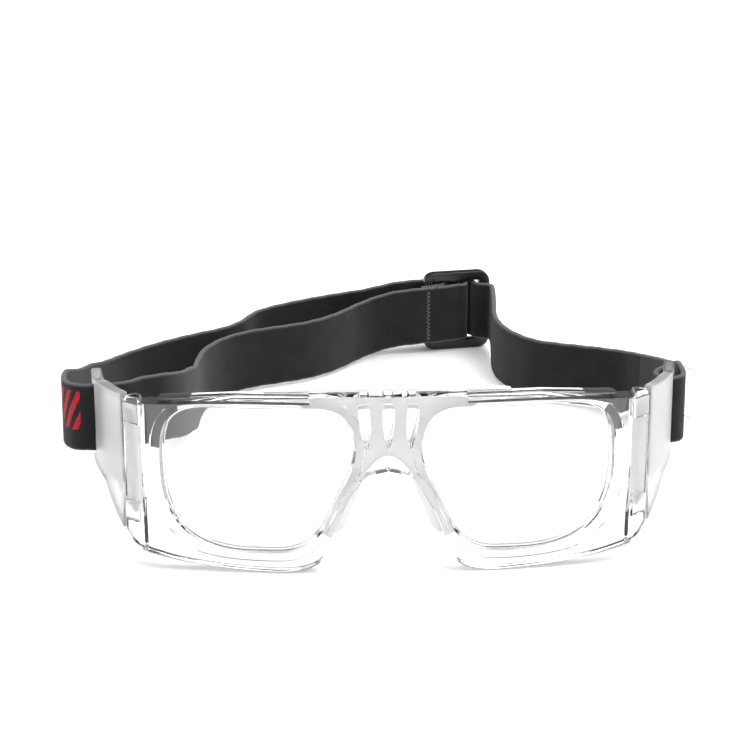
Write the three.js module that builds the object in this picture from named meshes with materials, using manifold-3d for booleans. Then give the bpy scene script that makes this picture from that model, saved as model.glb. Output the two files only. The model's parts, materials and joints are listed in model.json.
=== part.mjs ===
// Sports protective goggles: a clear moulded front with two lenses, two plug-in side arms, soft pads
// and an elastic head strap with a three-bar slider. Units are millimetres and +Z is up.
// X runs across the face, and the front of the goggles looks along -Y.
import * as THREE from 'three';
import { mergeVertices } from 'three/addons/utils/BufferGeometryUtils.js';
import Module from 'manifold-3d';

const wasm = await Module();
wasm.setup();

// ---------------------------------------------------------------- driving dimensions
// Clear front
const FRAME_HALF_WIDTH = 70.5; // from the centre to where the arms plug in
const FRAME_HEIGHT = 49.4;
const RIM_HALF_WIDTH = FRAME_HALF_WIDTH - 5; // outer edge of the raised rim
const RIM_WIDTH = 6.3; // between a lens opening and the rim's outer edge
const RAIL_HEIGHT = 3.4; // between a lens opening and the top of the frame
const RIM_DEPTH = 5.2; // thickness of the rims and the brow rail, front to back
const WING_INSET = 1.2; // the corner wings lie this far behind the rims
const WING_WALL = 2.8;
const CORNER_RISE = 8.9; // height of the lower outer corner above the lowest point
const BRIDGE_THINNING = 2; // the bridge plate is this much thinner than the rims
const RELIEF_MARGIN = 1.4; // left at full depth beside each lens opening
const RELIEF_DROP = 4; // left at full depth below the top of the frame
const RELIEF_CORNER = 1.5;
// Lenses
const LENS_HALF_GAP = 9.5; // from the centre line to an opening's inner side
const LENS_WIDTH = RIM_HALF_WIDTH - RIM_WIDTH - LENS_HALF_GAP;
const LENS_BOTTOM = 6.3;
const LENS_HEIGHT = FRAME_HEIGHT - RAIL_HEIGHT - LENS_BOTTOM;
const LENS_THICKNESS = 2;
const LENS_EDGE = 0.9; // how far a lens reaches into its groove
const LENS_SETBACK = 1.6; // from the rim's front to the lens's front
// Nose arch
const ARCH_TOP = FRAME_HEIGHT * 0.581;
const ARCH_HALF_WIDTH = 15.6;
// Brow slots and bridge vents
const SLOT_INNER = 20.5;
const SLOT_OUTER = RIM_HALF_WIDTH - 0.5;
const SLOT_TALL = 2;
const SLOT_SLIM = 0.5;
const SLOT_DROP = 0.9; // below the top of the frame
const VENT_WIDTH = 3;
const VENT_HEIGHT = 11.5;
const VENT_PITCH = 6.5;
const VENT_BOTTOM = FRAME_HEIGHT - 14.6;
const VENT_LEAN = 0.08; // the outer vents lean in at the bottom, in radians
// Side arms
const ARM_WALL = 2.8;
const ARM_END = 33.4; // depth of the arm's rear edge
const ARM_TOP = FRAME_HEIGHT - 2;
const TONGUE_LENGTH = 4.2;
const TONGUE_WALL = 1.2;
const TONGUE_HEIGHT = 5;
const STRAP_SLOT_DEPTH = 3.8; // front to back
const STRAP_BAR = 3.4; // front to back, behind the slot
// Soft pads
const PAD_THICKNESS = 2.4;
const NOSE_PAD_HALF_WIDTH = 33;
const NOSE_PAD_TOP = FRAME_HEIGHT + 1.4;
const NOSE_PAD_BOTTOM = 9;
const PAD_OVER_ARCH = 3; // the pad's lower edge lies this far above the arch
const NOSE_FLAP_DEPTH = 9;
const SIDE_PAD_BOTTOM = 14.5;
const SIDE_PAD_TOP = ARM_TOP - 5.9;
const SIDE_PAD_FRONT = 13.5; // depth of its front edge, behind the rim's back
// Strap and slider
const STRAP_WIDTH = 19;
const STRAP_THICKNESS = 1.5;
const STRAP_HIGH = ARM_TOP - 12.8; // height of the strap's middle at the arms
const STRAP_FLOOR = STRAP_WIDTH / 2 + 0.6; // height of its middle where its edge rests
const STRAP_MARGIN = 1.1; // slot above and below the webbing
const THREAD_RADIUS = 0.25;
const THREAD_SWING = 0.7; // half the width of the zigzag
const SLIDER_LENGTH = 22;
const SLIDER_HEIGHT = 26;
const SLIDER_THICKNESS = 3;
const SLIDER_BAR = 4;
const SLIDER_SLOT = 5.4;
const SLIDER_PLACE = [29.8, 182];
const SLIDER_TURN = 0.15; // the slider's turn about Z, in radians
// Clearances
const FIT = 0.3;

// The plan and the strap are drawn for these sizes, and are fitted to the real ones.
const DRAWN_HALF_WIDTH = 70.5;
const DRAWN_ARM_WALL = 2.8;
const DRAWN_ARM_REACH = 79; // from the centre line to an arm where the strap passes through it
const LOOP_END = 42; // depth up to which the strap's points keep their distance from the arm
const LOOP_BLEND = 20; // depth over which they then come to follow the width
const DRAWN_STRAP_HIGH = 34.6;
const DRAWN_STRAP_FLOOR = 10.1;
const DRAWN_LENS_WIDTH = 49.7;
const DRAWN_LENS_HEIGHT = 39.7;
const SPREAD = FRAME_HALF_WIDTH / DRAWN_HALF_WIDTH;
const SLIDER_CENTRE = new THREE.Vector3(SLIDER_PLACE[0] * SPREAD, SLIDER_PLACE[1], SLIDER_HEIGHT / 2);

// The front's surface in plan, from the centre line round the corner and back along an arm.
const PLAN_POINTS = [
  [-20, 0.4], [0, 0], [20, 0.4], [40, 1.9], [55, 3.8], [62, 5.4], [67.4, 8], [71.8, 12], [75.4, 17], [78, 23],
  [79.7, 30], [80.3, 37],
];
const PLAN_STEPS = 64;
const DEEP = 60; // longer than the front is deep, for cuts that go right through

// ---------------------------------------------------------------- helpers
function solid(geometry) {
  const g = geometry.clone();
  g.deleteAttribute('normal');
  g.deleteAttribute('uv');
  const merged = mergeVertices(g, 1e-4);
  const triVerts = Uint32Array.from(merged.index.array);
  const vertProperties = Float32Array.from(merged.attributes.position.array);
  return new wasm.Manifold(new wasm.Mesh({ numProp: 3, vertProperties, triVerts }));
}

function geometryOf(manifold) {
  const mesh = manifold.getMesh();
  const g = new THREE.BufferGeometry();
  g.setAttribute('position', new THREE.BufferAttribute(Float32Array.from(mesh.vertProperties), 3));
  g.setIndex(Array.from(mesh.triVerts));
  g.computeVertexNormals();
  return g;
}

// A closed outline whose corners are rounded: each corner is [a, b, length taken by its curve].
function roundedOutline(corners) {
  const shape = new THREE.Shape();
  corners.forEach(([a, b, trim], i) => {
    const corner = new THREE.Vector2(a, b);
    const before = toVector(corners[(i + corners.length - 1) % corners.length]);
    const after = toVector(corners[(i + 1) % corners.length]);
    const start = corner.clone().add(before.sub(corner).setLength(trim));
    const end = corner.clone().add(after.sub(corner).setLength(trim));
    if (i === 0) shape.moveTo(start.x, start.y);
    else shape.lineTo(start.x, start.y);
    shape.quadraticCurveTo(corner.x, corner.y, end.x, end.y);
  });
  shape.closePath();
  return shape;
}

function toVector([a, b]) {
  return new THREE.Vector2(a, b);
}

// The outline moved outwards by a distance, or inwards by a negative one.
function grown(shape, distance, steps = 8) {
  const points = shape.getPoints(steps).filter((p, i, all) => i === 0 || p.distanceTo(all[i - 1]) > 1e-3);
  if (points[0].distanceTo(points[points.length - 1]) < 1e-3) points.pop();
  const sign = THREE.ShapeUtils.isClockWise(points) ? -1 : 1;
  const moved = points.map((p, i) => {
    const before = points[(i + points.length - 1) % points.length];
    const after = points[(i + 1) % points.length];
    const along = after.clone().sub(before).normalize();
    return new THREE.Vector2(p.x + sign * along.y * distance, p.y - sign * along.x * distance);
  });
  return new THREE.Shape(moved);
}

function extrude(shape, depth, steps = 8) {
  return new THREE.ExtrudeGeometry(shape, { depth, bevelEnabled: false, curveSegments: steps });
}

// A front view outline (x, z), given thickness along Y from one depth to another.
function frontCut(shape, from, to, steps = 8) {
  const g = extrude(shape, to - from, steps);
  g.rotateX(Math.PI / 2);
  g.translate(0, to, 0);
  return solid(g);
}

// A side view outline (y, z), given thickness along X from one place to another.
function sideCut(shape, from, to, steps = 8) {
  const g = extrude(shape, to - from, steps);
  g.applyMatrix4(new THREE.Matrix4().makeBasis(
    new THREE.Vector3(0, 1, 0), new THREE.Vector3(0, 0, 1), new THREE.Vector3(1, 0, 0)));
  g.translate(from, 0, 0);
  return solid(g);
}

function box(x0, x1, y0, y1, z0, z1) {
  const g = new THREE.BoxGeometry(x1 - x0, y1 - y0, z1 - z0);
  g.translate((x0 + x1) / 2, (y0 + y1) / 2, (z0 + z1) / 2);
  return solid(g);
}

const plan = new THREE.SplineCurve(PLAN_POINTS.map(([x, y]) => toVector([x * SPREAD, y])));
const planSamples = plan.getSpacedPoints(PLAN_STEPS).map((p, i) => {
  const t = plan.getTangentAt(i / PLAN_STEPS);
  return { p, inward: new THREE.Vector2(-t.y, t.x) };
}).filter((s) => s.p.x >= 0);

// A curved wall that follows the plan at two offsets behind its surface, from one depth or side to another.
function planWall(keep, front, back, z0, z1) {
  const kept = planSamples.filter((s) => keep(s.p));
  const outer = kept.map((s) => s.p.clone().addScaledVector(s.inward, front));
  const inner = kept.map((s) => s.p.clone().addScaledVector(s.inward, back));
  const shape = new THREE.Shape([...outer, ...inner.reverse()]);
  const g = extrude(shape, z1 - z0);
  g.translate(0, 0, z0);
  return solid(g);
}

function bothSides(right) {
  return right.add(right.mirror([1, 0, 0]));
}

// The wall across the whole front, from side to side.
function frontWall(halfWidth, front, back) {
  const top = NOSE_PAD_TOP + 1;
  const right = planWall((p) => p.x <= halfWidth + 4, front, back, -1, top);
  const seam = box(-1, 1, front + 0.004, back, -1, top);
  return bothSides(right).add(seam).intersect(box(-halfWidth, halfWidth, -5, DEEP, -1, top));
}

function addMesh(group, name, manifold, look) {
  const mesh = new THREE.Mesh(geometryOf(manifold), new THREE.MeshStandardMaterial(look));
  mesh.name = name;
  group.add(mesh);
  return mesh;
}

const CLEAR = { color: 0xf4f7f8, roughness: 0.05, metalness: 0, transparent: true, opacity: 0.4 };
const FROSTED = { color: 0xe6e9ea, roughness: 0.6, metalness: 0 };
const WEBBING = { color: 0x2b2b2d, roughness: 0.95, metalness: 0 };
const BLACK_PLASTIC = { color: 0x0e0e10, roughness: 0.25, metalness: 0 };
const THREAD = { color: 0x3a3a3c, roughness: 0.9, metalness: 0 };

// ---------------------------------------------------------------- outlines in the front view
const lensInner = LENS_HALF_GAP;
const lensOuter = LENS_HALF_GAP + LENS_WIDTH;
const lensTop = LENS_BOTTOM + LENS_HEIGHT;

// The corners' curves grow and shrink with the opening, so that they always fit on its sides.
function lensOpening() {
  const k = Math.min(LENS_WIDTH / DRAWN_LENS_WIDTH, LENS_HEIGHT / DRAWN_LENS_HEIGHT);
  return roundedOutline([
    [lensOuter, lensTop, 12 * k],
    [lensInner + 1, lensTop - 0.4, 9 * k],
    [lensInner - 0.6, lensTop - 14 * k, 4.5 * k],
    [lensInner + 11 * k, LENS_BOTTOM - 0.4, 9 * k],
    [lensOuter + 0.4, LENS_BOTTOM - 0.4, 24 * k],
  ]);
}

function frameOutline() {
  const half = [
    [FRAME_HALF_WIDTH, FRAME_HEIGHT - 3],
    [FRAME_HALF_WIDTH, CORNER_RISE],
    [FRAME_HALF_WIDTH - 3, CORNER_RISE - 3.5],
    [FRAME_HALF_WIDTH - 10.5, 3.6],
    [FRAME_HALF_WIDTH - 19, 2],
    [FRAME_HALF_WIDTH - 30, 0.7],
    [FRAME_HALF_WIDTH - 43, 0],
    [ARCH_HALF_WIDTH + 4.4, 1.6],
    [ARCH_HALF_WIDTH + 0.8, 5],
    [ARCH_HALF_WIDTH - 0.6, 9.5],
    [ARCH_HALF_WIDTH - 3.4, ARCH_TOP - 11.6],
    [ARCH_HALF_WIDTH - 9.6, ARCH_TOP - 1.9],
  ];
  const curve = new THREE.SplineCurve([...half.slice(1), [0, ARCH_TOP]].map(toVector));
  const lower = curve.getPoints(60);
  const right = [new THREE.Vector2(FRAME_HALF_WIDTH - 2, FRAME_HEIGHT - 2), toVector(half[0]), ...lower];
  const left = right.slice(0, -1).map((p) => new THREE.Vector2(-p.x, p.y)).reverse();
  const brow = 40;
  return new THREE.Shape([
    new THREE.Vector2(-brow, FRAME_HEIGHT), new THREE.Vector2(brow, FRAME_HEIGHT), ...right, ...left,
  ]);
}

function browSlot() {
  const top = FRAME_HEIGHT - SLOT_DROP;
  const low = top - SLOT_TALL;
  return roundedOutline([
    [SLOT_OUTER, top - 0.6, 0.7],
    [SLOT_INNER + 12, top - 0.2, 8],
    [SLOT_INNER, top - 0.5, 0.15],
    [SLOT_INNER, top - 0.5 - SLOT_SLIM, 0.15],
    [SLOT_INNER + 24, low + 1.2, 8],
    [SLOT_OUTER - 1, low - 0.2, 0.7],
  ]);
}

function teardrop(x, lean) {
  const half = VENT_WIDTH / 2;
  const shape = roundedOutline([
    [half, VENT_HEIGHT, 0.7], [-half, VENT_HEIGHT, 0.7], [-half, VENT_HEIGHT * 0.45, 2.4],
    [-0.25, 0, 0.2], [0.25, 0, 0.2], [half, VENT_HEIGHT * 0.45, 2.4],
  ]);
  const turned = shape.getPoints(5).map((p) => p.rotateAround(new THREE.Vector2(0, VENT_HEIGHT), lean));
  return new THREE.Shape(turned.map((p) => new THREE.Vector2(p.x + x, p.y + VENT_BOTTOM)));
}

// The three vents, which pass through the bridge and through the soft pad behind it.
function ventCut() {
  const middle = frontCut(teardrop(0, 0), -5, DEEP);
  const outer = frontCut(teardrop(VENT_PITCH, -VENT_LEAN), -5, DEEP);
  return middle.add(bothSides(outer));
}

// ---------------------------------------------------------------- clear front
function clearFront() {
  const rim = frontWall(RIM_HALF_WIDTH, 0, RIM_DEPTH);
  const wing = frontWall(FRAME_HALF_WIDTH, WING_INSET, WING_INSET + WING_WALL);
  let body = rim.add(wing).intersect(frontCut(frameOutline(), -2, DEEP));
  const opening = lensOpening();
  body = body.subtract(bothSides(frontCut(opening, -5, DEEP)));
  body = body.subtract(bothSides(lensSolid(FIT)));
  body = body.subtract(bothSides(frontCut(browSlot(), -5, DEEP)));
  body = body.subtract(bridgeRelief());
  body = body.subtract(ventCut());
  for (const z of tongueHeights()) body = body.subtract(bothSides(tongue(z, FIT)));
  return body;
}

// The back of the bridge is lowered so that the soft pad's plate lies in it.
function bridgeRelief() {
  const half = LENS_HALF_GAP - RELIEF_MARGIN;
  const top = FRAME_HEIGHT - RELIEF_DROP;
  const low = ARCH_TOP + PAD_OVER_ARCH - FIT;
  const shape = roundedOutline([
    [half, top, RELIEF_CORNER], [-half, top, RELIEF_CORNER], [-half, low, RELIEF_CORNER], [half, low, RELIEF_CORNER],
  ]);
  return frontCut(shape, RIM_DEPTH - BRIDGE_THINNING, DEEP);
}

// A lens with its edge, or the groove that takes it when it is given a clearance.
function lensSolid(clearance) {
  const front = LENS_SETBACK - clearance;
  const back = LENS_SETBACK + LENS_THICKNESS + clearance;
  const wall = planWall((p) => p.x <= RIM_HALF_WIDTH, front, back, -1, NOSE_PAD_TOP);
  return wall.intersect(frontCut(grown(lensOpening(), LENS_EDGE + clearance), -5, DEEP));
}

// ---------------------------------------------------------------- side arms
function tongueHeights() {
  return [CORNER_RISE + 3.2, ARM_TOP - TONGUE_HEIGHT - 2.6];
}

// A flat tongue that plugs into the front's corner, or its pocket when it is given a clearance.
function tongue(z, clearance) {
  const start = FRAME_HALF_WIDTH - TONGUE_LENGTH - clearance;
  const end = FRAME_HALF_WIDTH + 1.5;
  const low = z - clearance;
  const high = z + TONGUE_HEIGHT + clearance;
  const middle = WING_INSET + WING_WALL / 2;
  const half = TONGUE_WALL / 2 + clearance;
  const wall = planWall((p) => p.x >= start - 5 && p.x <= end + 5, middle - half, middle + half, low, high);
  return wall.intersect(box(start, end, -5, DEEP, low, high));
}

const slotFront = ARM_END - STRAP_BAR - STRAP_SLOT_DEPTH;
const slotLow = STRAP_HIGH - STRAP_WIDTH / 2 - STRAP_MARGIN;
const slotHigh = STRAP_HIGH + STRAP_WIDTH / 2 + STRAP_MARGIN;

function armSilhouette() {
  return roundedOutline([
    [0, ARM_TOP - 0.4, 0.1],
    [slotFront - 7, ARM_TOP, 3],
    [slotFront - 1, ARM_TOP - 1.4, 2],
    [ARM_END, ARM_TOP - 0.2, 1.6],
    [ARM_END, slotLow - 2.6, 1.6],
    [slotFront - 3, slotLow - 3.2, 2.5],
    [slotFront - 9.7, slotLow - 4.4, 2.5],
    [11.5, CORNER_RISE + 0.4, 1],
    [0, CORNER_RISE + 0.4, 0.1],
  ]);
}

function strapSlot() {
  const end = slotFront + STRAP_SLOT_DEPTH;
  return roundedOutline([
    [slotFront, slotHigh, 1], [end, slotHigh, 1], [end, slotLow, 1], [slotFront, slotLow, 1],
  ]);
}

function rightArm() {
  const start = FRAME_HALF_WIDTH + FIT;
  const wall = planWall((p) => p.x >= start - 5, WING_INSET, WING_INSET + ARM_WALL, 0, NOSE_PAD_TOP);
  let arm = wall.intersect(sideCut(armSilhouette(), start, 100));
  arm = arm.subtract(sideCut(strapSlot(), 60, 100));
  for (const z of tongueHeights()) arm = arm.add(tongue(z, 0));
  return arm;
}

// ---------------------------------------------------------------- soft pads
function sidePad() {
  const front = WING_INSET + ARM_WALL + FIT;
  const keep = (p) => p.x >= RIM_HALF_WIDTH - 4;
  const wall = planWall(keep, front, front + PAD_THICKNESS, 0, NOSE_PAD_TOP);
  const outline = roundedOutline([
    [SIDE_PAD_FRONT, SIDE_PAD_TOP, 2],
    [slotFront - 0.8, SIDE_PAD_TOP, 3],
    [slotFront - 0.8, SIDE_PAD_BOTTOM + 8, 3],
    [SIDE_PAD_FRONT + 3.5, SIDE_PAD_BOTTOM + 6.5, 1.5],
    [SIDE_PAD_FRONT, SIDE_PAD_BOTTOM, 0.8],
  ]);
  return wall.intersect(sideCut(outline, 0, 100));
}

// The soft pad's plate behind the bridge, its brow wings and its two nose flaps.
function nosePad() {
  const front = RIM_DEPTH + FIT;
  const wall = frontWall(NOSE_PAD_HALF_WIDTH, front, front + PAD_THICKNESS);
  const opening = grown(lensOpening(), 0.6);
  let plate = wall.intersect(frontCut(padOutline(), -5, DEEP));
  plate = plate.subtract(bothSides(frontCut(opening, -5, DEEP))).subtract(ventCut());
  const flap = frontCut(noseFlap(), front + 0.4, front + NOSE_FLAP_DEPTH);
  return plate.add(bothSides(flap));
}

function padOutline() {
  const shape = new THREE.Shape();
  const low = FRAME_HEIGHT - 2.4;
  const arch = ARCH_TOP + PAD_OVER_ARCH;
  shape.moveTo(-NOSE_PAD_HALF_WIDTH, low);
  shape.lineTo(-NOSE_PAD_HALF_WIDTH, FRAME_HEIGHT - 0.4);
  shape.quadraticCurveTo(0, NOSE_PAD_TOP * 2 - FRAME_HEIGHT + 0.4, NOSE_PAD_HALF_WIDTH, FRAME_HEIGHT - 0.4);
  shape.lineTo(NOSE_PAD_HALF_WIDTH, low);
  shape.lineTo(lensInner + 9, low - 2);
  shape.lineTo(ARCH_HALF_WIDTH + 3, NOSE_PAD_BOTTOM);
  shape.lineTo(ARCH_HALF_WIDTH - 2, NOSE_PAD_BOTTOM);
  shape.quadraticCurveTo(6, arch, 0, arch);
  shape.quadraticCurveTo(-6, arch, -ARCH_HALF_WIDTH + 2, NOSE_PAD_BOTTOM);
  shape.lineTo(-ARCH_HALF_WIDTH - 3, NOSE_PAD_BOTTOM);
  shape.lineTo(-lensInner - 9, low - 2);
  shape.closePath();
  return shape;
}

function noseFlap() {
  return roundedOutline([
    [ARCH_HALF_WIDTH - 7.6, ARCH_TOP - 1.5, 1.5],
    [ARCH_HALF_WIDTH - 10, ARCH_TOP - 3, 1.2],
    [ARCH_HALF_WIDTH - 3.6, NOSE_PAD_BOTTOM + 0.5, 1.4],
    [ARCH_HALF_WIDTH - 1.2, NOSE_PAD_BOTTOM + 0.5, 1],
  ]);
}

// ---------------------------------------------------------------- strap
// Each stretch of webbing follows points [x, y, height of its middle].
// A point that joins what lies in the slider is given about the slider's own centre.
function fromSlider(x, y) {
  const point = new THREE.Vector3(x, y, 0).applyAxisAngle(new THREE.Vector3(0, 0, 1), SLIDER_TURN);
  return point.add(SLIDER_CENTRE).toArray();
}

// A drawn point of the strap, fitted to the width of the front and to the height of the arms.
// Near an arm it moves with the arm, and further back it spreads with the width.
// A point inside an arm has a fourth number, its share of the arm's growth inwards.
function fitted([x, y, z, share = 0]) {
  const rise = (z - DRAWN_STRAP_FLOOR) / (DRAWN_STRAP_HIGH - DRAWN_STRAP_FLOOR);
  const inward = Math.sign(x) * share * (ARM_WALL - DRAWN_ARM_WALL);
  const near = THREE.MathUtils.clamp(1 - (y - LOOP_END) / LOOP_BLEND, 0, 1);
  const reach = near * Math.sign(x) * DRAWN_ARM_REACH + (1 - near) * x;
  return [x + reach * (SPREAD - 1) - inward, y, STRAP_FLOOR + rise * (STRAP_HIGH - STRAP_FLOOR)];
}

const slotMiddle = slotFront + STRAP_SLOT_DEPTH / 2;
const LEFT_LOOP = [
  [-70, 30.6, 34.2, 1], [-74, 28.9, 34.5, 1], [-77.6, slotMiddle, 34.6, 0.5], [-80.8, slotMiddle, 34.6],
  [-83.4, 29.2, 34.5], [-85.3, 31.8, 34.2],
];
const LEFT_OUTER = [
  [-85.6, 32.3, 34.2], [-86.6, 37, 33.8], [-86.7, 45, 32.6], [-86.3, 60, 27.6], [-85.4, 78, 21.4],
  [-83.6, 98, 15.8], [-80.3, 112, 11.8], [-74.3, 124.2, 10.1], [-64.9, 133.3, 10.1],
  [-55.2, 140.6, 10.1], [-45.4, 147, 10.1], [-40.4, 152.7, 10.1],
  [-35.4, 162.6, 10.1], [-30.3, 167.5, 10.1], [-19.9, 174.4, 10.1],
  [-9.4, 179.3, 10.3], [0, 180.4, 11.4],
];
const LEFT_INNER = [
  [-69.6, 30.8, 34.2, 1], [-65.6, 34.8, 34, 1], [-59.8, 39.2, 33.4, 1], [-55.4, 47.5, 31], [-53.3, 62, 27],
  [-52.6, 80, 21], [-52.8, 100, 15], [-52.6, 116, 11], [-50.9, 127, 10.1], [-45.3, 136.8, 10.1],
  [-37.2, 143.4, 10.1], [-27.6, 147.6, 10.1], [-19.5, 151.3, 10.1],
  [-12.9, 156.4, 10.1], [-7.9, 162, 10.1], [-2.9, 168.2, 10.3], [2.2, 172.2, 11],
  [8.6, 174.2, 12.2],
];
const RIGHT_RUN = [
  [41, 179.2, 12.9], [41.4, 176.4, 12.6], [41.2, 169, 11.2], [40.6, 159, 10.1],
  [41.4, 149, 10.1], [44.6, 139.8, 10.1], [51, 131.4, 10.1], [59, 127.4, 10.1],
  [68, 124, 10.1], [76.6, 118.6, 10.6], [81.4, 110, 12.4], [83.8, 95, 16.6], [84.6, 80, 21],
  [83.8, 62, 27], [82.7, 50, 31.4], [82.1, 44.6, 33],
];
const RIGHT_LOOP = [
  [82, 44.2, 33], [81.8, 39, 34], [81.5, 33, 34.5], [80.6, 29.6, 34.6],
  [78.4, slotMiddle, 34.6, 0.5], [76, slotMiddle + 0.2, 34.6, 1], [74.1, 30.4, 34.6, 1],
  [74.2, 33.6, 34.5, 1], [76.4, 38, 34, 1], [79.8, 44.2, 33],
];

// A band of webbing on edge: its plan is a strip about the points, and its height follows theirs.
function band(points, steps, thickness = STRAP_THICKNESS, width = STRAP_WIDTH) {
  const curve = new THREE.CatmullRomCurve3(points.map((p) => new THREE.Vector3(...p)), false, 'centripetal');
  const line = curve.getSpacedPoints(steps);
  const sides = [1, -1].map((side) => line.map((p, i) => {
    const t = curve.getTangentAt(i / steps);
    const across = new THREE.Vector2(-t.y, t.x).setLength(side * thickness / 2);
    return new THREE.Vector2(p.x + across.x, p.y + across.y);
  }));
  const g = extrude(new THREE.Shape([...sides[0], ...sides[1].slice().reverse()]), width);
  const position = g.attributes.position;
  for (let i = 0; i < position.count; i += 1) {
    const at = nearestIndex(sides, position.getX(i), position.getY(i));
    position.setZ(i, position.getZ(i) - width / 2 + line[at].z);
  }
  return solid(g);
}

function nearestIndex(sides, x, y) {
  let best = 0;
  let least = Infinity;
  for (const side of sides) {
    side.forEach((p, i) => {
      const d = (p.x - x) ** 2 + (p.y - y) ** 2;
      if (d < least) {
        least = d;
        best = i;
      }
    });
  }
  return best;
}

// ---------------------------------------------------------------- slider and what is sewn to it
// These are modelled about the slider's own centre, with its length along X.
const sliderHoleHeight = STRAP_WIDTH + 1.2;
const slotCentre = (SLIDER_BAR + SLIDER_SLOT) / 2;

function slider() {
  const outline = roundedRectangle(SLIDER_LENGTH, SLIDER_HEIGHT, 4);
  let body = frontCut(outline, -SLIDER_THICKNESS / 2, SLIDER_THICKNESS / 2);
  for (const side of [-1, 1]) {
    const hole = roundedRectangle(SLIDER_SLOT, sliderHoleHeight, 0.8);
    const cut = frontCut(hole, -DEEP, DEEP).translate([side * slotCentre, 0, 0]);
    body = body.subtract(cut);
  }
  return body;
}

function roundedRectangle(width, height, trim) {
  const a = width / 2;
  const b = height / 2;
  return roundedOutline([[a, b, trim], [-a, b, trim], [-a, -b, trim], [a, -b, trim]]);
}

// The webbing's fixed end: it comes from the left in front, turns round the bar and is sewn back on itself.
function sewnEnd() {
  const front = SLIDER_THICKNESS / 2 + STRAP_THICKNESS / 2 + FIT;
  const turn = SLIDER_BAR / 2 + STRAP_THICKNESS / 2 + FIT;
  const outer = front + STRAP_THICKNESS + FIT;
  return band([
    [-12.9, -outer - 0.5, 0], [-8, -outer, 0], [-3, -outer + 0.9, 0], [0, -front - 0.2, 0],
    [turn - 0.8, -front + 0.2, 0], [turn, -0.9, 0], [turn, 0.9, 0], [turn - 0.8, front - 0.2, 0],
    [0, front + 0.1, 0], [-turn + 0.8, front - 0.2, 0], [-turn - 0.5, 1, 0], [-turn - 1.3, -0.5, 0],
    [-turn - 3.2, -front + 0.4, 0], [-turn - 6, -front, 0], [-turn - 8.9, -front - 0.3, 0],
  ], 64);
}

// The free webbing passes behind the sewn end and through the slider's right hand slot.
function wovenPass() {
  const back = SLIDER_THICKNESS / 2 + STRAP_THICKNESS * 1.5 + FIT * 2;
  return band([
    [-19.6, back - 1.2, 0], [-12, back, 0], [-4, back + 0.2, 0], [2.4, back - 0.2, 0], [4.9, back - 2.4, 0],
    [5.7, 0.4, 0], [6.6, -2.4, 0], [8.6, -3, 0],
  ], 40);
}

// A row of sewing thread down the webbing: one thread that zigzags across the seam.
function seamThread(x, y, along) {
  const turns = 9;
  const half = (STRAP_WIDTH - 3) / 2;
  const points = [];
  for (let i = 0; i <= turns * 2; i += 1) {
    const side = (i % 2 === 0 ? -1 : 1) * THREAD_SWING;
    points.push(new THREE.Vector3(x + along.x * side, y + along.y * side, -half + (half * i) / turns));
  }
  const section = new THREE.Shape();
  section.absarc(0, 0, THREAD_RADIUS, 0, Math.PI * 2);
  const path = new THREE.CatmullRomCurve3(points);
  return solid(new THREE.ExtrudeGeometry(section, {
    steps: turns * 4, curveSegments: 3, bevelEnabled: false, extrudePath: path }));
}

// The seam that closes the loop on the right arm, on the outside of the webbing.
function armSeamThread() {
  const [x, y, z] = fitted(RIGHT_LOOP[1]);
  const stand = STRAP_THICKNESS / 2 + THREAD_RADIUS + FIT;
  return seamThread(x + stand, y, new THREE.Vector2(0, 1)).translate([0, 0, z]);
}

// ---------------------------------------------------------------- assembly
const goggles = new THREE.Group();
goggles.name = 'sports_goggles';

addMesh(goggles, 'front_frame', clearFront(), CLEAR);
for (const [side, sign] of [['right', 1], ['left', -1]]) {
  const place = (manifold) => (sign > 0 ? manifold : manifold.mirror([1, 0, 0]));
  addMesh(goggles, `${side}_lens`, place(lensSolid(0)), CLEAR);
  addMesh(goggles, `${side}_arm`, place(rightArm()), CLEAR);
  addMesh(goggles, `${side}_side_pad`, place(sidePad()), FROSTED);
}
addMesh(goggles, 'nose_pad', nosePad(), FROSTED);
addMesh(goggles, 'strap_left_loop', band(LEFT_LOOP.map(fitted), 26), WEBBING);
addMesh(goggles, 'strap_left_outer', band([...LEFT_OUTER.map(fitted), fromSlider(-20, 2.6)], 70), WEBBING);
addMesh(goggles, 'strap_left_inner', band([...LEFT_INNER.map(fitted), fromSlider(-13.4, -5)], 70), WEBBING);
addMesh(goggles, 'strap_right_run', band([fromSlider(9.4, -3.3), ...RIGHT_RUN.map(fitted)], 60), WEBBING);
addMesh(goggles, 'strap_right_loop', band(RIGHT_LOOP.map(fitted), 60), WEBBING);

const sliderGroup = new THREE.Group();
sliderGroup.position.copy(SLIDER_CENTRE);
sliderGroup.rotation.z = SLIDER_TURN;
goggles.add(sliderGroup);
addMesh(sliderGroup, 'slider', slider(), BLACK_PLASTIC);
addMesh(sliderGroup, 'strap_sewn_end', sewnEnd(), WEBBING);
addMesh(sliderGroup, 'strap_woven_pass', wovenPass(), WEBBING);
addMesh(sliderGroup, 'slider_seam_thread', seamThread(-10.4, -6.6, new THREE.Vector2(1, 0)), THREAD);
addMesh(goggles, 'arm_seam_thread', armSeamThread(), THREAD);

// The whole assembly stands centred on its own footprint.
const extent = new THREE.Box3().setFromObject(goggles);
goggles.position.set(
  -(extent.min.x + extent.max.x) / 2, -(extent.min.y + extent.max.y) / 2, -extent.min.z);

export default goggles;
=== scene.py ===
"""Clear sports goggles with an elastic head strap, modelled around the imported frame."""

import json
import math

import bpy
import numpy as np
from mathutils import Matrix, Vector


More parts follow.
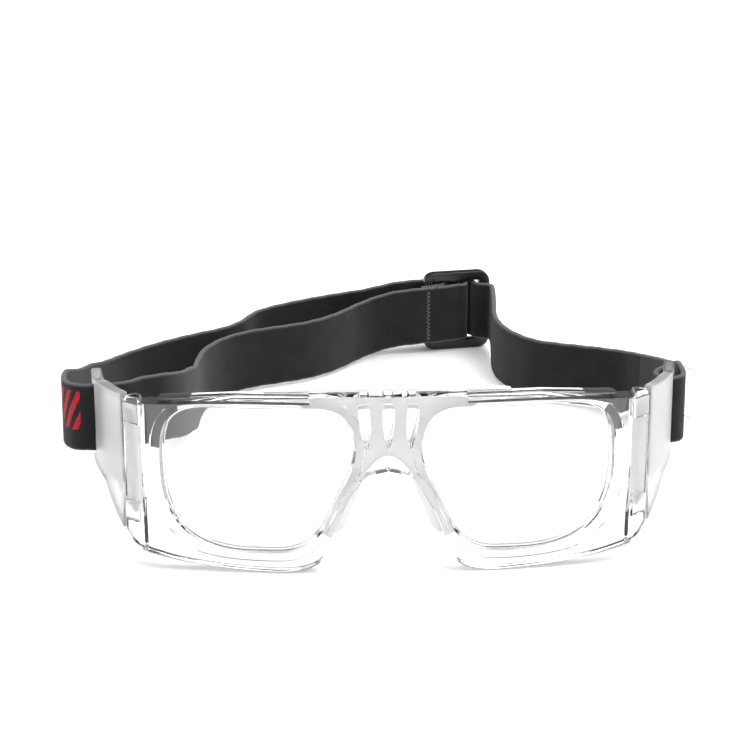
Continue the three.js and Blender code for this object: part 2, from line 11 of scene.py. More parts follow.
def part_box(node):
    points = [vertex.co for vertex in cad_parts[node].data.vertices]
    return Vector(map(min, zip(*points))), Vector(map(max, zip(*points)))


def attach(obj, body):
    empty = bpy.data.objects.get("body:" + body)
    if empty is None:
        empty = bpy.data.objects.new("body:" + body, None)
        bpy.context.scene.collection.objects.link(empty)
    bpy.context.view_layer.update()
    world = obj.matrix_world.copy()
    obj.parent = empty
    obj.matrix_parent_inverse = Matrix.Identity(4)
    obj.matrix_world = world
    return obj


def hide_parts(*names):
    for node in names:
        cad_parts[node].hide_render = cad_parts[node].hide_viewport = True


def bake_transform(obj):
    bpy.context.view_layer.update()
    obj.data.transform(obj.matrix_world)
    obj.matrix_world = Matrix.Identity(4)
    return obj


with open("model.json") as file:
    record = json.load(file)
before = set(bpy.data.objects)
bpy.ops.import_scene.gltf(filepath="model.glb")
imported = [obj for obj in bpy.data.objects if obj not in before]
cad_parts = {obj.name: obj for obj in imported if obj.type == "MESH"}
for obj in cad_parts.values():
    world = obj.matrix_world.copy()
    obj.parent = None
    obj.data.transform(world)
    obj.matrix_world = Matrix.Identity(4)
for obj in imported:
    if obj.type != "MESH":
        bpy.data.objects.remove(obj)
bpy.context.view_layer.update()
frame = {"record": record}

bl_info = {
    "name": "Sports Goggles",
    "version": (1, 0, 0),
    "blender": (4, 5, 0),
    "location": "View3D > Sidebar > Goggles",
    "description": "Models clear sports goggles with soft pads, a webbing strap and a slider",
    "category": "Object",
}

MM = 0.001

# ---------------------------------------------------------------- places taken from the frame
FRONT_LOW, FRONT_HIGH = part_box("front_frame")
CENTRE_X = (FRONT_LOW.x + FRONT_HIGH.x) / 2
FACE_Y = FRONT_LOW.y
FLOOR_Z = 0.0
SLIDER_LOW, SLIDER_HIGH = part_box("slider")


def at(x, y, z):
    """A point given in millimetres from the middle of the bridge's front, at floor level."""
    return Vector((CENTRE_X + x * MM, FACE_Y + y * MM, FLOOR_Z + z * MM))


# ---------------------------------------------------------------- settings a user would change
class GoggleSizes(bpy.types.PropertyGroup):
    rim_depth: bpy.props.FloatProperty(
        name="Rim depth", description="Front to back thickness of the rims, in millimetres", default=5.2,
        min=3, max=8)
    chamfer: bpy.props.FloatProperty(
        name="Rim chamfer", description="Width of the sloped ring round each lens, in millimetres",
        default=3.0, min=0.5, max=5)
    webbing_width: bpy.props.FloatProperty(
        name="Webbing width", description="Width of the elastic webbing, in millimetres", default=19,
        min=10, max=30)
    webbing_thickness: bpy.props.FloatProperty(
        name="Webbing thickness", description="Thickness of the elastic webbing, in millimetres", default=1.5,
        min=0.8, max=3)
    stitches: bpy.props.IntProperty(
        name="Stitches", description="Stitches in each seam", default=13, min=4, max=30)


class GoggleColours(bpy.types.PropertyGroup):
    plastic: bpy.props.StringProperty(
        name="Plastic", description="Tint of the clear plastic, sRGB hex", default="#FDFEFE")
    silicone: bpy.props.StringProperty(
        name="Silicone", description="Colour of the soft pads, sRGB hex", default="#FFFFFF")
    webbing: bpy.props.StringProperty(
        name="Webbing", description="Darkest colour of the strap, sRGB hex", default="#0D0D0F")
    webbing_light: bpy.props.StringProperty(
        name="Webbing light", description="Lightest colour of the strap, sRGB hex", default="#222225")
    selvedge: bpy.props.StringProperty(
        name="Selvedge", description="Colour of the strap's edges, sRGB hex", default="#5E5E62")
    slider: bpy.props.StringProperty(
        name="Slider", description="Colour of the slider, sRGB hex", default="#0B0B0D")
    print_red: bpy.props.StringProperty(
        name="Print", description="Colour of the printed bars on the strap, sRGB hex", default="#B21A2A")


def sizes():
    return bpy.context.scene.goggle_sizes


def colours():
    return bpy.context.scene.goggle_colours


def linear(hex_colour):
    """sRGB hex to linear RGBA."""
    values = [int(hex_colour[i:i + 2], 16) / 255 for i in (1, 3, 5)]
    return [v / 12.92 if v <= 0.04045 else ((v + 0.055) / 1.055) ** 2.4 for v in values] + [1.0]


# ---------------------------------------------------------------- outlines and the plan curve
PLAN_POINTS = [
    (-20, 0.4), (0, 0), (20, 0.4), (40, 1.9), (55, 3.8), (62, 5.4), (67.4, 8), (71.8, 12), (75.4, 17),
    (78, 23), (79.7, 30), (80.3, 37),
]


def catmull(points, per_span):
    """A uniform Catmull-Rom curve through the points."""
    p = np.array([points[0], *points, points[-1]], float)
    t = np.linspace(0, 1, per_span, endpoint=False)[:, None]
    spans = []
    for i in range(len(points) - 1):
        a, b, c, d = p[i], p[i + 1], p[i + 2], p[i + 3]
        v0, v1 = (c - a) / 2, (d - b) / 2
        cubic, square = 2 * b - 2 * c + v0 + v1, -3 * b + 3 * c - 2 * v0 - v1
        spans.append(cubic * t ** 3 + square * t ** 2 + v0 * t + b)
    return np.concatenate([*spans, p[-1:]])


class Plan:
    """The goggles' outer surface in plan, right half: its place and the way inwards at each distance."""

    line = catmull(PLAN_POINTS, 40)
    line = line[line[:, 0] >= 0]
    along = np.concatenate([[0], np.cumsum(np.linalg.norm(np.diff(line, axis=0), axis=1))])
    tangent = np.gradient(line, along, axis=0)
    tangent[0] = (1, 0)
    tangent /= np.linalg.norm(tangent, axis=1)[:, None]

    @classmethod
    def at_x(cls, x):
        return np.interp(x, cls.line[:, 0], cls.along)

    @classmethod
    def at_y(cls, y):
        return np.interp(y, cls.line[:, 1], cls.along)

    @classmethod
    def place(cls, s, inward, z):
        x, y, tx, ty = (np.interp(s, cls.along, column) for column in (*cls.line.T, *cls.tangent.T))
        length = math.hypot(tx, ty)
        return (x - ty / length * inward, y + tx / length * inward, z)


def rounded(corners, steps=10):
    """A closed outline whose corners are rounded: each corner is (a, b, length taken by its curve)."""
    points = []
    for i, (a, b, trim) in enumerate(corners):
        corner = Vector((a, b))
        before = Vector(corners[i - 1][:2]) - corner
        after = Vector(corners[(i + 1) % len(corners)][:2]) - corner
        start, end = corner + before.normalized() * trim, corner + after.normalized() * trim
        for k in range(steps + 1):
            t = k / steps
            points.append((1 - t) ** 2 * start + 2 * t * (1 - t) * corner + t ** 2 * end)
    return np.array([tuple(p) for p in points])


def reach(outline, centre, angles):
    """How far the outline lies from the centre at each angle."""
    a = outline - np.array(centre)
    b = np.roll(a, -1, axis=0)
    edge = b - a
    result = []
    for angle in angles:
        d = np.array((math.cos(angle), math.sin(angle)))
        cross = d[0] * edge[:, 1] - d[1] * edge[:, 0]
        cross[np.abs(cross) < 1e-12] = 1e-12
        r = (a[:, 0] * edge[:, 1] - a[:, 1] * edge[:, 0]) / cross
        t = (a[:, 0] * d[1] - a[:, 1] * d[0]) / cross
        good = (r > 0) & (t >= -1e-6) & (t <= 1 + 1e-6)
        result.append(r[good].max() if good.any() else 0)
    return np.array(result)


# ---------------------------------------------------------------- making meshes
def deselect():
    bpy.ops.object.select_all(action="DESELECT")


def mapped_grid(name, columns, rows, place, uv=None, ends="OPEN"):
    """A grid primitive with each vertex moved to place(column, row), and its doubles merged.
    Its faces are turned out, and ends="CLOSED" fills the openings that are left."""
    deselect()
    bpy.ops.mesh.primitive_grid_add(x_subdivisions=columns, y_subdivisions=rows, size=1)
    piece = bpy.context.object
    piece.name = name
    piece.data.name = name
    mesh = piece.data
    index = [(round((v.co.x + 0.5) * columns), round((v.co.y + 0.5) * rows)) for v in mesh.vertices]
    if uv is not None:
        layer = mesh.uv_layers.active.data
        for loop in mesh.loops:
            layer[loop.index].uv = uv(*index[loop.vertex_index])
    for v, (i, j) in zip(mesh.vertices, index):
        v.co = place(i, j)
    bpy.ops.object.mode_set(mode="EDIT")
    bpy.ops.mesh.select_all(action="SELECT")
    bpy.ops.mesh.remove_doubles(threshold=2e-6)
    bpy.ops.mesh.dissolve_degenerate(threshold=1e-7)
    if ends == "CLOSED":
        bpy.ops.mesh.select_all(action="DESELECT")
        bpy.ops.mesh.select_non_manifold()
        bpy.ops.mesh.fill_holes(sides=0)
    bpy.ops.mesh.select_all(action="SELECT")
    bpy.ops.mesh.normals_make_consistent(inside=False)
    bpy.ops.object.mode_set(mode="OBJECT")
    return piece


def apply_modifier(piece, kind, **settings):
    modifier = piece.modifiers.new(kind.title(), kind)
    for key, value in settings.items():
        setattr(modifier, key, value)
    deselect()
    piece.select_set(True)
    bpy.context.view_layer.objects.active = piece
    bpy.ops.object.modifier_apply(modifier=modifier.name)


def smooth(piece, degrees=35):
    deselect()
    piece.select_set(True)
    bpy.context.view_layer.objects.active = piece
    bpy.ops.object.shade_smooth_by_angle(angle=math.radians(degrees))


def mirrored(piece, name):
    """A copy of a piece on the goggles' other side."""
    copy = piece.copy()
    copy.data = piece.data.copy()
    copy.name = name
    bpy.context.scene.collection.objects.link(copy)
    turn = Matrix.Translation((2 * CENTRE_X, 0, 0)) @ Matrix.Scale(-1, 4, (1, 0, 0))
    copy.data.transform(turn)
    copy.data.flip_normals()
    return copy


def settle(piece, material, body, slot, *nodes):
    """Gives a finished piece its material and its body, and hides the CAD nodes that it stands for; slot is
    not used.
    """
    if not piece.data.polygons:
        raise RuntimeError(f"{piece.name} has no faces")
    piece.data.materials.clear()
    piece.data.materials.append(material)
    if body:
        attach(piece, body)
    if nodes:
        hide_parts(*nodes)


# ---------------------------------------------------------------- materials
def add_node(tree, kind, settings=None, links=None):
    """Adds a node. Settings are attributes or input values, and links are input name to output socket."""
    made = tree.nodes.new(kind)
    for key, value in (settings or {}).items():
        if isinstance(key, str) and hasattr(made, key):
            setattr(made, key, value)
        else:
            made.inputs[key].default_value = value
    for key, socket in (links or {}).items():
        tree.links.new(socket, made.inputs[key])
    return made


def new_material(name):
    material = bpy.data.materials.new(name)
    material.use_nodes = True
    tree = material.node_tree
    tree.nodes.clear()
    shader = tree.nodes.new("ShaderNodeBsdfPrincipled")
    out = tree.nodes.new("ShaderNodeOutputMaterial")
    tree.links.new(shader.outputs[0], out.inputs[0])
    return material, tree, shader


def clear_polycarbonate():
    """Polished water white polycarbonate: bright edges, dark lines only where it bends the view."""
    material, _, shader = new_material("polycarbonate_clear_moulded")
    shader.inputs["Base Color"].default_value = linear(colours().plastic)
    shader.inputs["Transmission Weight"].default_value = 1.0
    shader.inputs["IOR"].default_value = 1.585
    shader.inputs["Roughness"].default_value = 0.02
    return material


def satin_polycarbonate():
    """Polycarbonate from a finely textured mould: clear, with a satin face that blurs what lies behind it."""
    material, _, shader = new_material("polycarbonate_satin_moulded")
    shader.inputs["Base Color"].default_value = linear(colours().plastic)
    shader.inputs["Transmission Weight"].default_value = 1.0
    shader.inputs["IOR"].default_value = 1.585
    shader.inputs["Roughness"].default_value = 0.35
    return material


def slot_floor_painted_reflection():
    """The brow slots' floors keep the texture of the mould's core, so they are rough; their dark grey is a
    painted dark reflection of the black strap.
    """
    material, _, shader = new_material("polycarbonate_slot_painted_reflection")
    # painted dark reflection: this dark grey base colour stands in for the black strap seen reflected in the
    # brow slots
    shader.inputs["Base Color"].default_value = linear("#2E2E30")
    shader.inputs["Transmission Weight"].default_value = 0.3
    shader.inputs["IOR"].default_value = 1.585
    shader.inputs["Roughness"].default_value = 0.35
    return material


def lens_polycarbonate():
    """Hard coated lens: clearer than the frame, with a faint reflection."""
    material, _, shader = new_material("polycarbonate_hard_coated_lens")
    shader.inputs["Base Color"].default_value = (1, 1, 1, 1)
    shader.inputs["Transmission Weight"].default_value = 1.0
    shader.inputs["IOR"].default_value = 1.585
    shader.inputs["Roughness"].default_value = 0.0
    return material


BLAST_SCALE = 2600.0  # grains to the metre in the blasted mould
BLAST_DEPTH = 0.00003


def frosted_silicone():
    """Silicone rubber from a bead blasted mould: pale, matt and translucent."""
    material, tree, shader = new_material("silicone_frosted_moulded")
    place = add_node(tree, "ShaderNodeTexCoord").outputs["Object"]
    grain = add_node(tree, "ShaderNodeTexNoise", {"Scale": BLAST_SCALE, "Detail": 3.0}, {"Vector": place})
    settings = {"Strength": 0.15, "Distance": BLAST_DEPTH}
    bump = add_node(tree, "ShaderNodeBump", settings, {"Height": grain.outputs[0]})
    tree.links.new(bump.outputs[0], shader.inputs["Normal"])
    shader.inputs["Base Color"].default_value = linear(colours().silicone)
    shader.inputs["Roughness"].default_value = 0.5
    shader.inputs["Transmission Weight"].default_value = 0.4
    shader.inputs["Subsurface Weight"].default_value = 0.5
    shader.inputs["Subsurface Radius"].default_value = (0.004, 0.004, 0.004)
    shader.inputs["Subsurface Scale"].default_value = 1.0
    return material


RIB_PITCH = 0.00085
PICK_PITCH = 0.0006
RIB_SHARE = 0.55  # of the weave's height
GRAIN_SCALE = 1500.0  # single fibres
MOTTLE_SCALE = 160.0  # slow changes of tone along the strap
SELVEDGE = 0.0008
PRINT_AT = 0.0945  # along the left front webbing
PRINT_RISE = 0.002  # above the webbing's middle
PRINT_HALF_LENGTH = 0.0042
PRINT_HALF_HEIGHT = 0.0055
PRINT_BAR_PITCH = 0.0032
PRINT_SLANT = 0.45


def math_node(tree, kind, *values):
    """A maths node between sockets or numbers. Returns its output."""
    node = add_node(tree, "ShaderNodeMath", {"operation": kind})
    for socket, value in zip(node.inputs, values):
        if isinstance(value, (int, float)):
            socket.default_value = value
        else:
            tree.links.new(value, socket)
    return node.outputs[0]


def mixed(tree, factor, first, second):
    """A mix of two colours, each an output socket or linear RGBA. Returns its output."""
    node = add_node(tree, "ShaderNodeMix", {"data_type": "RGBA"}, {"Factor": factor})
    for socket, colour in ((node.inputs[6], first), (node.inputs[7], second)):
        if isinstance(colour, list):
            socket.default_value = colour
        else:
            tree.links.new(colour, socket)
    return node.outputs[2]


def weave_pattern(tree, along, across):
    """The height of the weave: lengthwise ribs crossed by staggered picks."""
    ribs = math_node(tree, "SINE", math_node(tree, "MULTIPLY", across, 2 * math.pi / RIB_PITCH))
    stagger = math_node(tree, "MULTIPLY", math_node(tree, "SIGN", ribs), math.pi / 2)
    turns = math_node(tree, "MULTIPLY", along, 2 * math.pi / PICK_PITCH)
    picks = math_node(tree, "SINE", math_node(tree, "ADD", turns, stagger))
    rib_part = math_node(tree, "MULTIPLY", math_node(tree, "ABSOLUTE", ribs), RIB_SHARE)
    return math_node(tree, "ADD", rib_part, math_node(tree, "MULTIPLY", picks, 1 - RIB_SHARE))


def printed_bars(tree, along, across, grain):
    """Where the red print lies: slanted bars in a small patch, worn away where the grain is low."""
    slanted = math_node(tree, "ADD", along, math_node(tree, "MULTIPLY", across, PRINT_SLANT))
    waves = math_node(tree, "SINE", math_node(tree, "MULTIPLY", slanted, 2 * math.pi / PRINT_BAR_PITCH))
    bars = math_node(tree, "GREATER_THAN", waves, 0.0)
    near = math_node(tree, "COMPARE", along, PRINT_AT, PRINT_HALF_LENGTH)
    height = math_node(tree, "ABSOLUTE", math_node(tree, "SUBTRACT", across, PRINT_RISE))
    tall = math_node(tree, "LESS_THAN", height, PRINT_HALF_HEIGHT)
    patch = math_node(tree, "MULTIPLY", math_node(tree, "MULTIPLY", bars, near), tall)
    worn = add_node(tree, "ShaderNodeMapRange", {"From Min": 0.3, "From Max": 0.45}, {"Value": grain})
    return math_node(tree, "MULTIPLY", patch, worn.outputs[0])


def woven_webbing(printed=False):
    """Woven elastic webbing: lengthwise ribs crossed by fine picks, paler at its two selvedges."""
    name = "elastic_webbing_printed" if printed else "elastic_webbing_woven_black"
    material, tree, shader = new_material(name)
    uv = add_node(tree, "ShaderNodeUVMap").outputs[0]
    parts = add_node(tree, "ShaderNodeSeparateXYZ", None, {"Vector": uv})
    along, across = parts.outputs[0], parts.outputs[1]
    weave = weave_pattern(tree, along, across)
    fibres = add_node(tree, "ShaderNodeTexNoise", {"Scale": GRAIN_SCALE, "Detail": 4.0}, {"Vector": uv})
    mottle = add_node(tree, "ShaderNodeTexNoise", {"Scale": MOTTLE_SCALE, "Detail": 3.0}, {"Vector": uv})
    grain = fibres.outputs[0]
    height = math_node(tree, "ADD", weave, math_node(tree, "MULTIPLY", grain, 1.2))
    bump = add_node(tree, "ShaderNodeBump", {"Strength": 0.8, "Distance": 0.00012}, {"Height": height})
    tree.links.new(bump.outputs[0], shader.inputs["Normal"])
    noise = math_node(tree, "ADD", grain, mottle.outputs[0])
    tone = math_node(tree, "ADD", math_node(tree, "MULTIPLY", weave, 0.5), noise)
    light = add_node(tree, "ShaderNodeMapRange", {"From Min": 0.6, "From Max": 1.6}, {"Value": tone})
    colour = mixed(tree, light.outputs[0], linear(colours().webbing), linear(colours().webbing_light))
    half = sizes().webbing_width / 2 * MM
    edge = add_node(tree, "ShaderNodeMapRange", {
        "From Min": half - SELVEDGE, "From Max": half - 0.0001, "To Max": 0.8,
    }, {"Value": math_node(tree, "ABSOLUTE", across)})
    colour = mixed(tree, edge.outputs[0], colour, linear(colours().selvedge))
    if printed:
        print_here = printed_bars(tree, along, across, grain)
        colour = mixed(tree, print_here, colour, linear(colours().print_red))
    tree.links.new(colour, shader.inputs["Base Color"])
    shader.inputs["Roughness"].default_value = 0.95
    shader.inputs["Specular IOR Level"].default_value = 0.15
    shader.inputs["Sheen Weight"].default_value = 0.12
    shader.inputs["Sheen Roughness"].default_value = 0.5
    return material


def sewing_thread():
    """Spun polyester sewing thread, dark grey."""
    material, _, shader = new_material("polyester_sewing_thread")
    shader.inputs["Base Color"].default_value = linear("#5A5A5E")
    shader.inputs["Roughness"].default_value = 0.8
    shader.inputs["Sheen Weight"].default_value = 0.3
    return material


def black_acetal():
    """Moulded acetal: black with a soft gloss."""
    material, _, shader = new_material("acetal_moulded_black")
    shader.inputs["Base Color"].default_value = linear(colours().slider)
    shader.inputs["Roughness"].default_value = 0.25
    return material


# ---------------------------------------------------------------- the clear front
LENS_INNER = 9.5
LENS_OUTER = 59.2
LENS_LOW = 6.3
LENS_TOP = 46.0
LENS_MIDDLE = (35.5, 26.5)
FRAME_HALF = 70.5
FRAME_TOP = 49.4
RIM_HALF = 65.5
CORNER_RISE = 8.9
ARCH_TOP = 28.7
ARCH_HALF = 15.6
WING_INSET = 1.2
WING_WALL = 2.8
LENS_SETBACK = 1.6
LENS_THICKNESS = 2.0
LENS_EDGE = 0.9
FIT = 0.3
STEP_HALF = 0.35  # half the width of the step between a rim and its corner wing
BRIDGE_MIDDLE = 39.0  # height of the middle of the face that the two halves share
BRIDGE_REACH = 10.3


def lens_outline():
    return rounded([
        (LENS_OUTER, LENS_TOP, 12), (LENS_INNER + 1, LENS_TOP - 0.4, 9),
        (LENS_INNER - 0.6, LENS_TOP - 14, 4.5), (LENS_INNER + 11, LENS_LOW - 0.4, 9),
        (LENS_OUTER + 0.4, LENS_LOW - 0.4, 24),
    ], 16)


def front_outline():
    """Half of the front's outline, closed down the middle of the bridge."""
    lower = catmull([
        (FRAME_HALF, CORNER_RISE), (FRAME_HALF - 3, CORNER_RISE - 3.5), (FRAME_HALF - 10.5, 3.6),
        (FRAME_HALF - 19, 2.0), (FRAME_HALF - 30, 0.7), (FRAME_HALF - 43, 0), (ARCH_HALF + 4.4, 1.6),
        (ARCH_HALF + 0.8, 5), (ARCH_HALF - 0.6, 9.5), (ARCH_HALF - 3.4, ARCH_TOP - 11.6),
        (ARCH_HALF - 9.6, ARCH_TOP - 1.9), (0, ARCH_TOP),
    ], 12)
    top = [(0, FRAME_TOP), (40, FRAME_TOP), (FRAME_HALF - 2, FRAME_TOP - 2), (FRAME_HALF, FRAME_TOP - 3)]
    return np.concatenate([top, lower])


def ring_angles(outline, centre, count):
    """Evenly spaced angles, with the nearest moved onto each sharp corner of the outline."""
    angles = np.linspace(-math.pi, math.pi, count, endpoint=False)
    a = outline - np.roll(outline, 1, axis=0)
    b = np.roll(outline, -1, axis=0) - outline
    turn = np.abs(np.arctan2(a[:, 0] * b[:, 1] - a[:, 1] * b[:, 0], (a * b).sum(1)))
    for corner in outline[turn > math.radians(25)] - np.array(centre):
        angle = math.atan2(corner[1], corner[0])
        angles[np.argmin(np.abs(angles - angle))] = angle
    return np.sort(angles)


def wing_share(x):
    """0 on the rims, 1 on the thinner corner wings, with a short step between them."""
    t = min(1.0, max(0.0, (x - RIM_HALF + STEP_HALF) / (2 * STEP_HALF)))
    return t * t * (3 - 2 * t)


def front_rows(inner, step_in, step_out, outer, fillet):
    """The section through a rim along one ray from the lens's middle.
    Each row is (distance, offset from the front or back, which of the two)."""
    wide = min(sizes().chamfer, 0.42 * (outer - inner))
    depth = sizes().rim_depth
    groove_front = LENS_SETBACK - FIT / 2
    groove_back = LENS_SETBACK + LENS_THICKNESS + FIT / 2 - depth
    near = min(step_in, outer - 1.4)
    past = min(step_out, outer - 1.1)
    front = [
        (inner, groove_front), (inner, 1.25), (inner + 0.1, 1.08), (inner + 0.3, 0.95),
        (inner + wide * 0.8, 0.5), (inner + wide, 0.38), (inner + wide + 0.08, 0.12),
        (inner + wide + 0.25, 0.0), (near, 0.0), (past, 0.0), (outer - fillet, 0.0),
        (outer - fillet * 0.62, fillet * 0.08), (outer - fillet * 0.3, fillet * 0.3),
        (outer - fillet * 0.08, fillet * 0.62), (outer, fillet),
    ]
    back = [
        (outer, -fillet), (outer - fillet * 0.08, -fillet * 0.62), (outer - fillet * 0.3, -fillet * 0.3),
        (outer - fillet * 0.62, -fillet * 0.08), (outer - fillet, 0.0), (past, 0.0), (near, 0.0),
        (inner + 0.8, 0.0), (inner + 0.3, -0.1), (inner, -0.45), (inner, groove_back),
        (inner + LENS_EDGE, groove_back),
    ]
    closing = [(inner + LENS_EDGE, groove_front), (inner, groove_front)]
    return [(*row, 0) for row in front] + [(*row, 1) for row in back] + [(*row, 0) for row in closing]


def front_half():
    outline = front_outline()
    angles = ring_angles(outline, LENS_MIDDLE, 320)
    inner = reach(lens_outline(), LENS_MIDDLE, angles)
    outer = reach(outline, LENS_MIDDLE, angles)
    cosine = np.where(np.cos(angles) > 1e-3, np.cos(angles), 1e-3)
    step_in = (RIM_HALF - STEP_HALF - LENS_MIDDLE[0]) / cosine
    step_out = (RIM_HALF + STEP_HALF - LENS_MIDDLE[0]) / cosine
    on_middle = LENS_MIDDLE[0] + outer * np.cos(angles) < 0.05
    depth = sizes().rim_depth
    height = LENS_MIDDLE[1] + outer * np.sin(angles)
    fillet = np.where(on_middle & (np.abs(height - BRIDGE_MIDDLE) < BRIDGE_REACH), 0.0, 0.8)
    sections = [front_rows(*values) for values in zip(inner, step_in, step_out, outer, fillet)]

    def place(i, j):
        i %= len(angles)
        r, offset, is_back = sections[i][j]
        x = LENS_MIDDLE[0] + r * math.cos(angles[i])
        z = LENS_MIDDLE[1] + r * math.sin(angles[i])
        x = 0.0 if x < 0.02 else x
        wing = wing_share(x)
        base = depth + (WING_INSET + WING_WALL - depth) * wing if is_back else WING_INSET * wing
        return at(*Plan.place(Plan.at_x(x), base + offset, z))

    return mapped_grid("goggle_front", len(angles), len(sections[0]) - 1, place)


def cutter(name, outline, low, high):
    """A prism through the front, for cutting."""
    deselect()
    bpy.ops.mesh.primitive_circle_add(vertices=len(outline), radius=1, fill_type="NGON")
    piece = bpy.context.object
    piece.name = name
    for v, (x, z) in zip(piece.data.vertices, outline):
        v.co = at(x, low, z)
    bpy.ops.object.mode_set(mode="EDIT")
    bpy.ops.mesh.select_all(action="SELECT")
    bpy.ops.mesh.extrude_region_move(TRANSFORM_OT_translate={"value": (0, (high - low) * MM, 0)})
    bpy.ops.mesh.select_all(action="SELECT")
    bpy.ops.mesh.normals_make_consistent(inside=False)
    bpy.ops.object.mode_set(mode="OBJECT")
    return piece


def cut(piece, tool):
    apply_modifier(piece, "BOOLEAN", operation="DIFFERENCE", solver="EXACT", object=tool)
    bpy.data.objects.remove(tool)


VENTS = ((-6.5, 0.08), (0, 0), (6.5, -0.08))  # place across the bridge and lean of each
VENT_LOW = 34.8
VENT_HEIGHT = 11.5
SLOT_INNER = 20.5
SLOT_OUTER = 65.0
SLOT_TOP = 48.5


def brow_slot():
    return rounded([
        (SLOT_OUTER, SLOT_TOP - 0.6, 0.7), (SLOT_INNER + 12, SLOT_TOP - 0.2, 8),
        (SLOT_INNER, SLOT_TOP - 0.5, 0.15), (SLOT_INNER, SLOT_TOP - 1, 0.15),
        (SLOT_INNER + 24, SLOT_TOP - 0.8, 8), (SLOT_OUTER - 1, SLOT_TOP - 2.2, 0.7),
    ], 4)


def in_brow_slot(polygon):
    """Whether a face is the floor of a brow slot."""
    x = abs(polygon.center.x - CENTRE_X) / MM
    z = (polygon.center.z - FLOOR_Z) / MM
    inside = SLOT_INNER - 0.1 < x < SLOT_OUTER + 0.1 and SLOT_TOP - 2.6 < z < SLOT_TOP + 0.1
    return inside and abs(polygon.normal.y) < 0.3 and polygon.normal.z > 0.5 and not on_lens_side(x, z)


def on_lens_side(x, z):
    """Whether a point is on the wall of a lens opening."""
    outline = lens_outline()
    away = np.hypot(outline[:, 0] - x, outline[:, 1] - z)
    return float(np.min(away)) < 0.8 and z < LENS_TOP + 0.2


def teardrop(x, lean):
    """The outline of a vent, which leans about the middle of its top edge."""
    drop = rounded([
        (1.5, VENT_HEIGHT, 0.7), (-1.5, VENT_HEIGHT, 0.7), (-1.5, 5.2, 2.4), (-0.25, 0, 0.2),
        (0.25, 0, 0.2), (1.5, 5.2, 2.4),
    ], 5)
    c, s = math.cos(lean), math.sin(lean)
    a, b = drop[:, 0], drop[:, 1] - VENT_HEIGHT
    return np.stack([a * c - b * s + x, a * s + b * c + VENT_HEIGHT + VENT_LOW], 1)


def flipped(outline):
    return outline * np.array((-1, 1))


class GOGGLES_OT_front(bpy.types.Operator):
    """Model the clear one-piece front"""

    bl_idname = "goggles.front"
    bl_label = "Clear front"

    def execute(self, context):
        piece = front_half()
        bpy.ops.object.mode_set(mode="EDIT")
        bpy.ops.mesh.select_all(action="DESELECT")
        bpy.ops.object.mode_set(mode="OBJECT")
        vertices = piece.data.vertices
        for polygon in piece.data.polygons:
            polygon.select = all(abs(vertices[v].co.x - CENTRE_X) < 2e-6 for v in polygon.vertices)
        bpy.ops.object.mode_set(mode="EDIT")
        bpy.ops.mesh.select_mode(type="FACE")
        bpy.ops.mesh.delete(type="FACE")
        bpy.ops.mesh.select_mode(type="VERT")
        bpy.ops.object.mode_set(mode="OBJECT")
        other = mirrored(piece, "front_other_half")
        deselect()
        other.select_set(True)
        piece.select_set(True)
        context.view_layer.objects.active = piece
        bpy.ops.object.join()
        bpy.ops.object.mode_set(mode="EDIT")
        bpy.ops.mesh.select_all(action="SELECT")
        bpy.ops.mesh.remove_doubles(threshold=3e-6)
        bpy.ops.mesh.normals_make_consistent(inside=False)
        bpy.ops.object.mode_set(mode="OBJECT")
        for outline in (brow_slot(), flipped(brow_slot())):
            cut(piece, cutter("brow_slot_tool", outline, -4, 30))
        for x, lean in VENTS:
            cut(piece, cutter("vent_tool", teardrop(x, lean), -4, 30))
        for z in TONGUE_LEVELS:
            pocket = tongue("tongue_pocket", z, FIT)
            cut(piece, mirrored(pocket, "tongue_pocket_left"))
            cut(piece, pocket)
        smooth(piece, 32)
        settle(piece, clear_polycarbonate(), "goggle_front", "clear_polycarbonate", "front_frame")
        # the brow slot floors get the material with the painted dark reflection
        piece.data.materials.append(slot_floor_painted_reflection())
        for polygon in piece.data.polygons:
            if in_brow_slot(polygon):
                polygon.material_index = 1
        return {"FINISHED"}


class GOGGLES_OT_lenses(bpy.types.Operator):
    """Model the two lenses with their edges in the rims' grooves"""

    bl_idname = "goggles.lenses"
    bl_label = "Lenses"

    def execute(self, context):
        angles = np.linspace(-math.pi, math.pi, 160, endpoint=False)
        rim = reach(lens_outline(), LENS_MIDDLE, angles) + LENS_EDGE - FIT
        front, back = LENS_SETBACK, LENS_SETBACK + LENS_THICKNESS
        shares = [0, 0.25, 0.5, 0.75, 0.9, 0.985]
        edge = [(1, -0.25, front), (1, 0, front + 0.25), (1, 0, back - 0.25), (1, -0.25, back)]
        rows = [(s, 0, front) for s in shares] + edge + [(s, 0, back) for s in reversed(shares)]

        def place(i, j):
            share, less, inward = rows[j]
            r = rim[i % len(angles)] * share + less
            angle = angles[i % len(angles)]
            x = LENS_MIDDLE[0] + r * math.cos(angle)
            return at(*Plan.place(Plan.at_x(x), inward, LENS_MIDDLE[1] + r * math.sin(angle)))

        right = mapped_grid("right_lens_glazing", len(angles), len(rows) - 1, place)
        smooth(right, 40)
        left = mirrored(right, "left_lens_glazing")
        material = lens_polycarbonate()
        settle(right, material, "goggle_front", "lens_polycarbonate", "right_lens")
        settle(left, material, "goggle_front", "lens_polycarbonate", "left_lens")
        return {"FINISHED"}


# ---------------------------------------------------------------- side arms
ARM_WALL = 2.8
ARM_END = 33.4
ARM_TOP = 47.4
SLOT_FRONT = 26.2
SLOT_BACK = 30.0
WEB_HIGH = 34.6  # height of the webbing's middle at the arms
SLOT_MARGIN = 1.1  # slot above and below the webbing


def slot_outline():
    reach_up = sizes().webbing_width / 2 + SLOT_MARGIN
    high, low = WEB_HIGH + reach_up, WEB_HIGH - reach_up
    return rounded([
        (SLOT_FRONT, high, 1), (SLOT_BACK, high, 1), (SLOT_BACK, low, 1), (SLOT_FRONT, low, 1),
    ], 4)


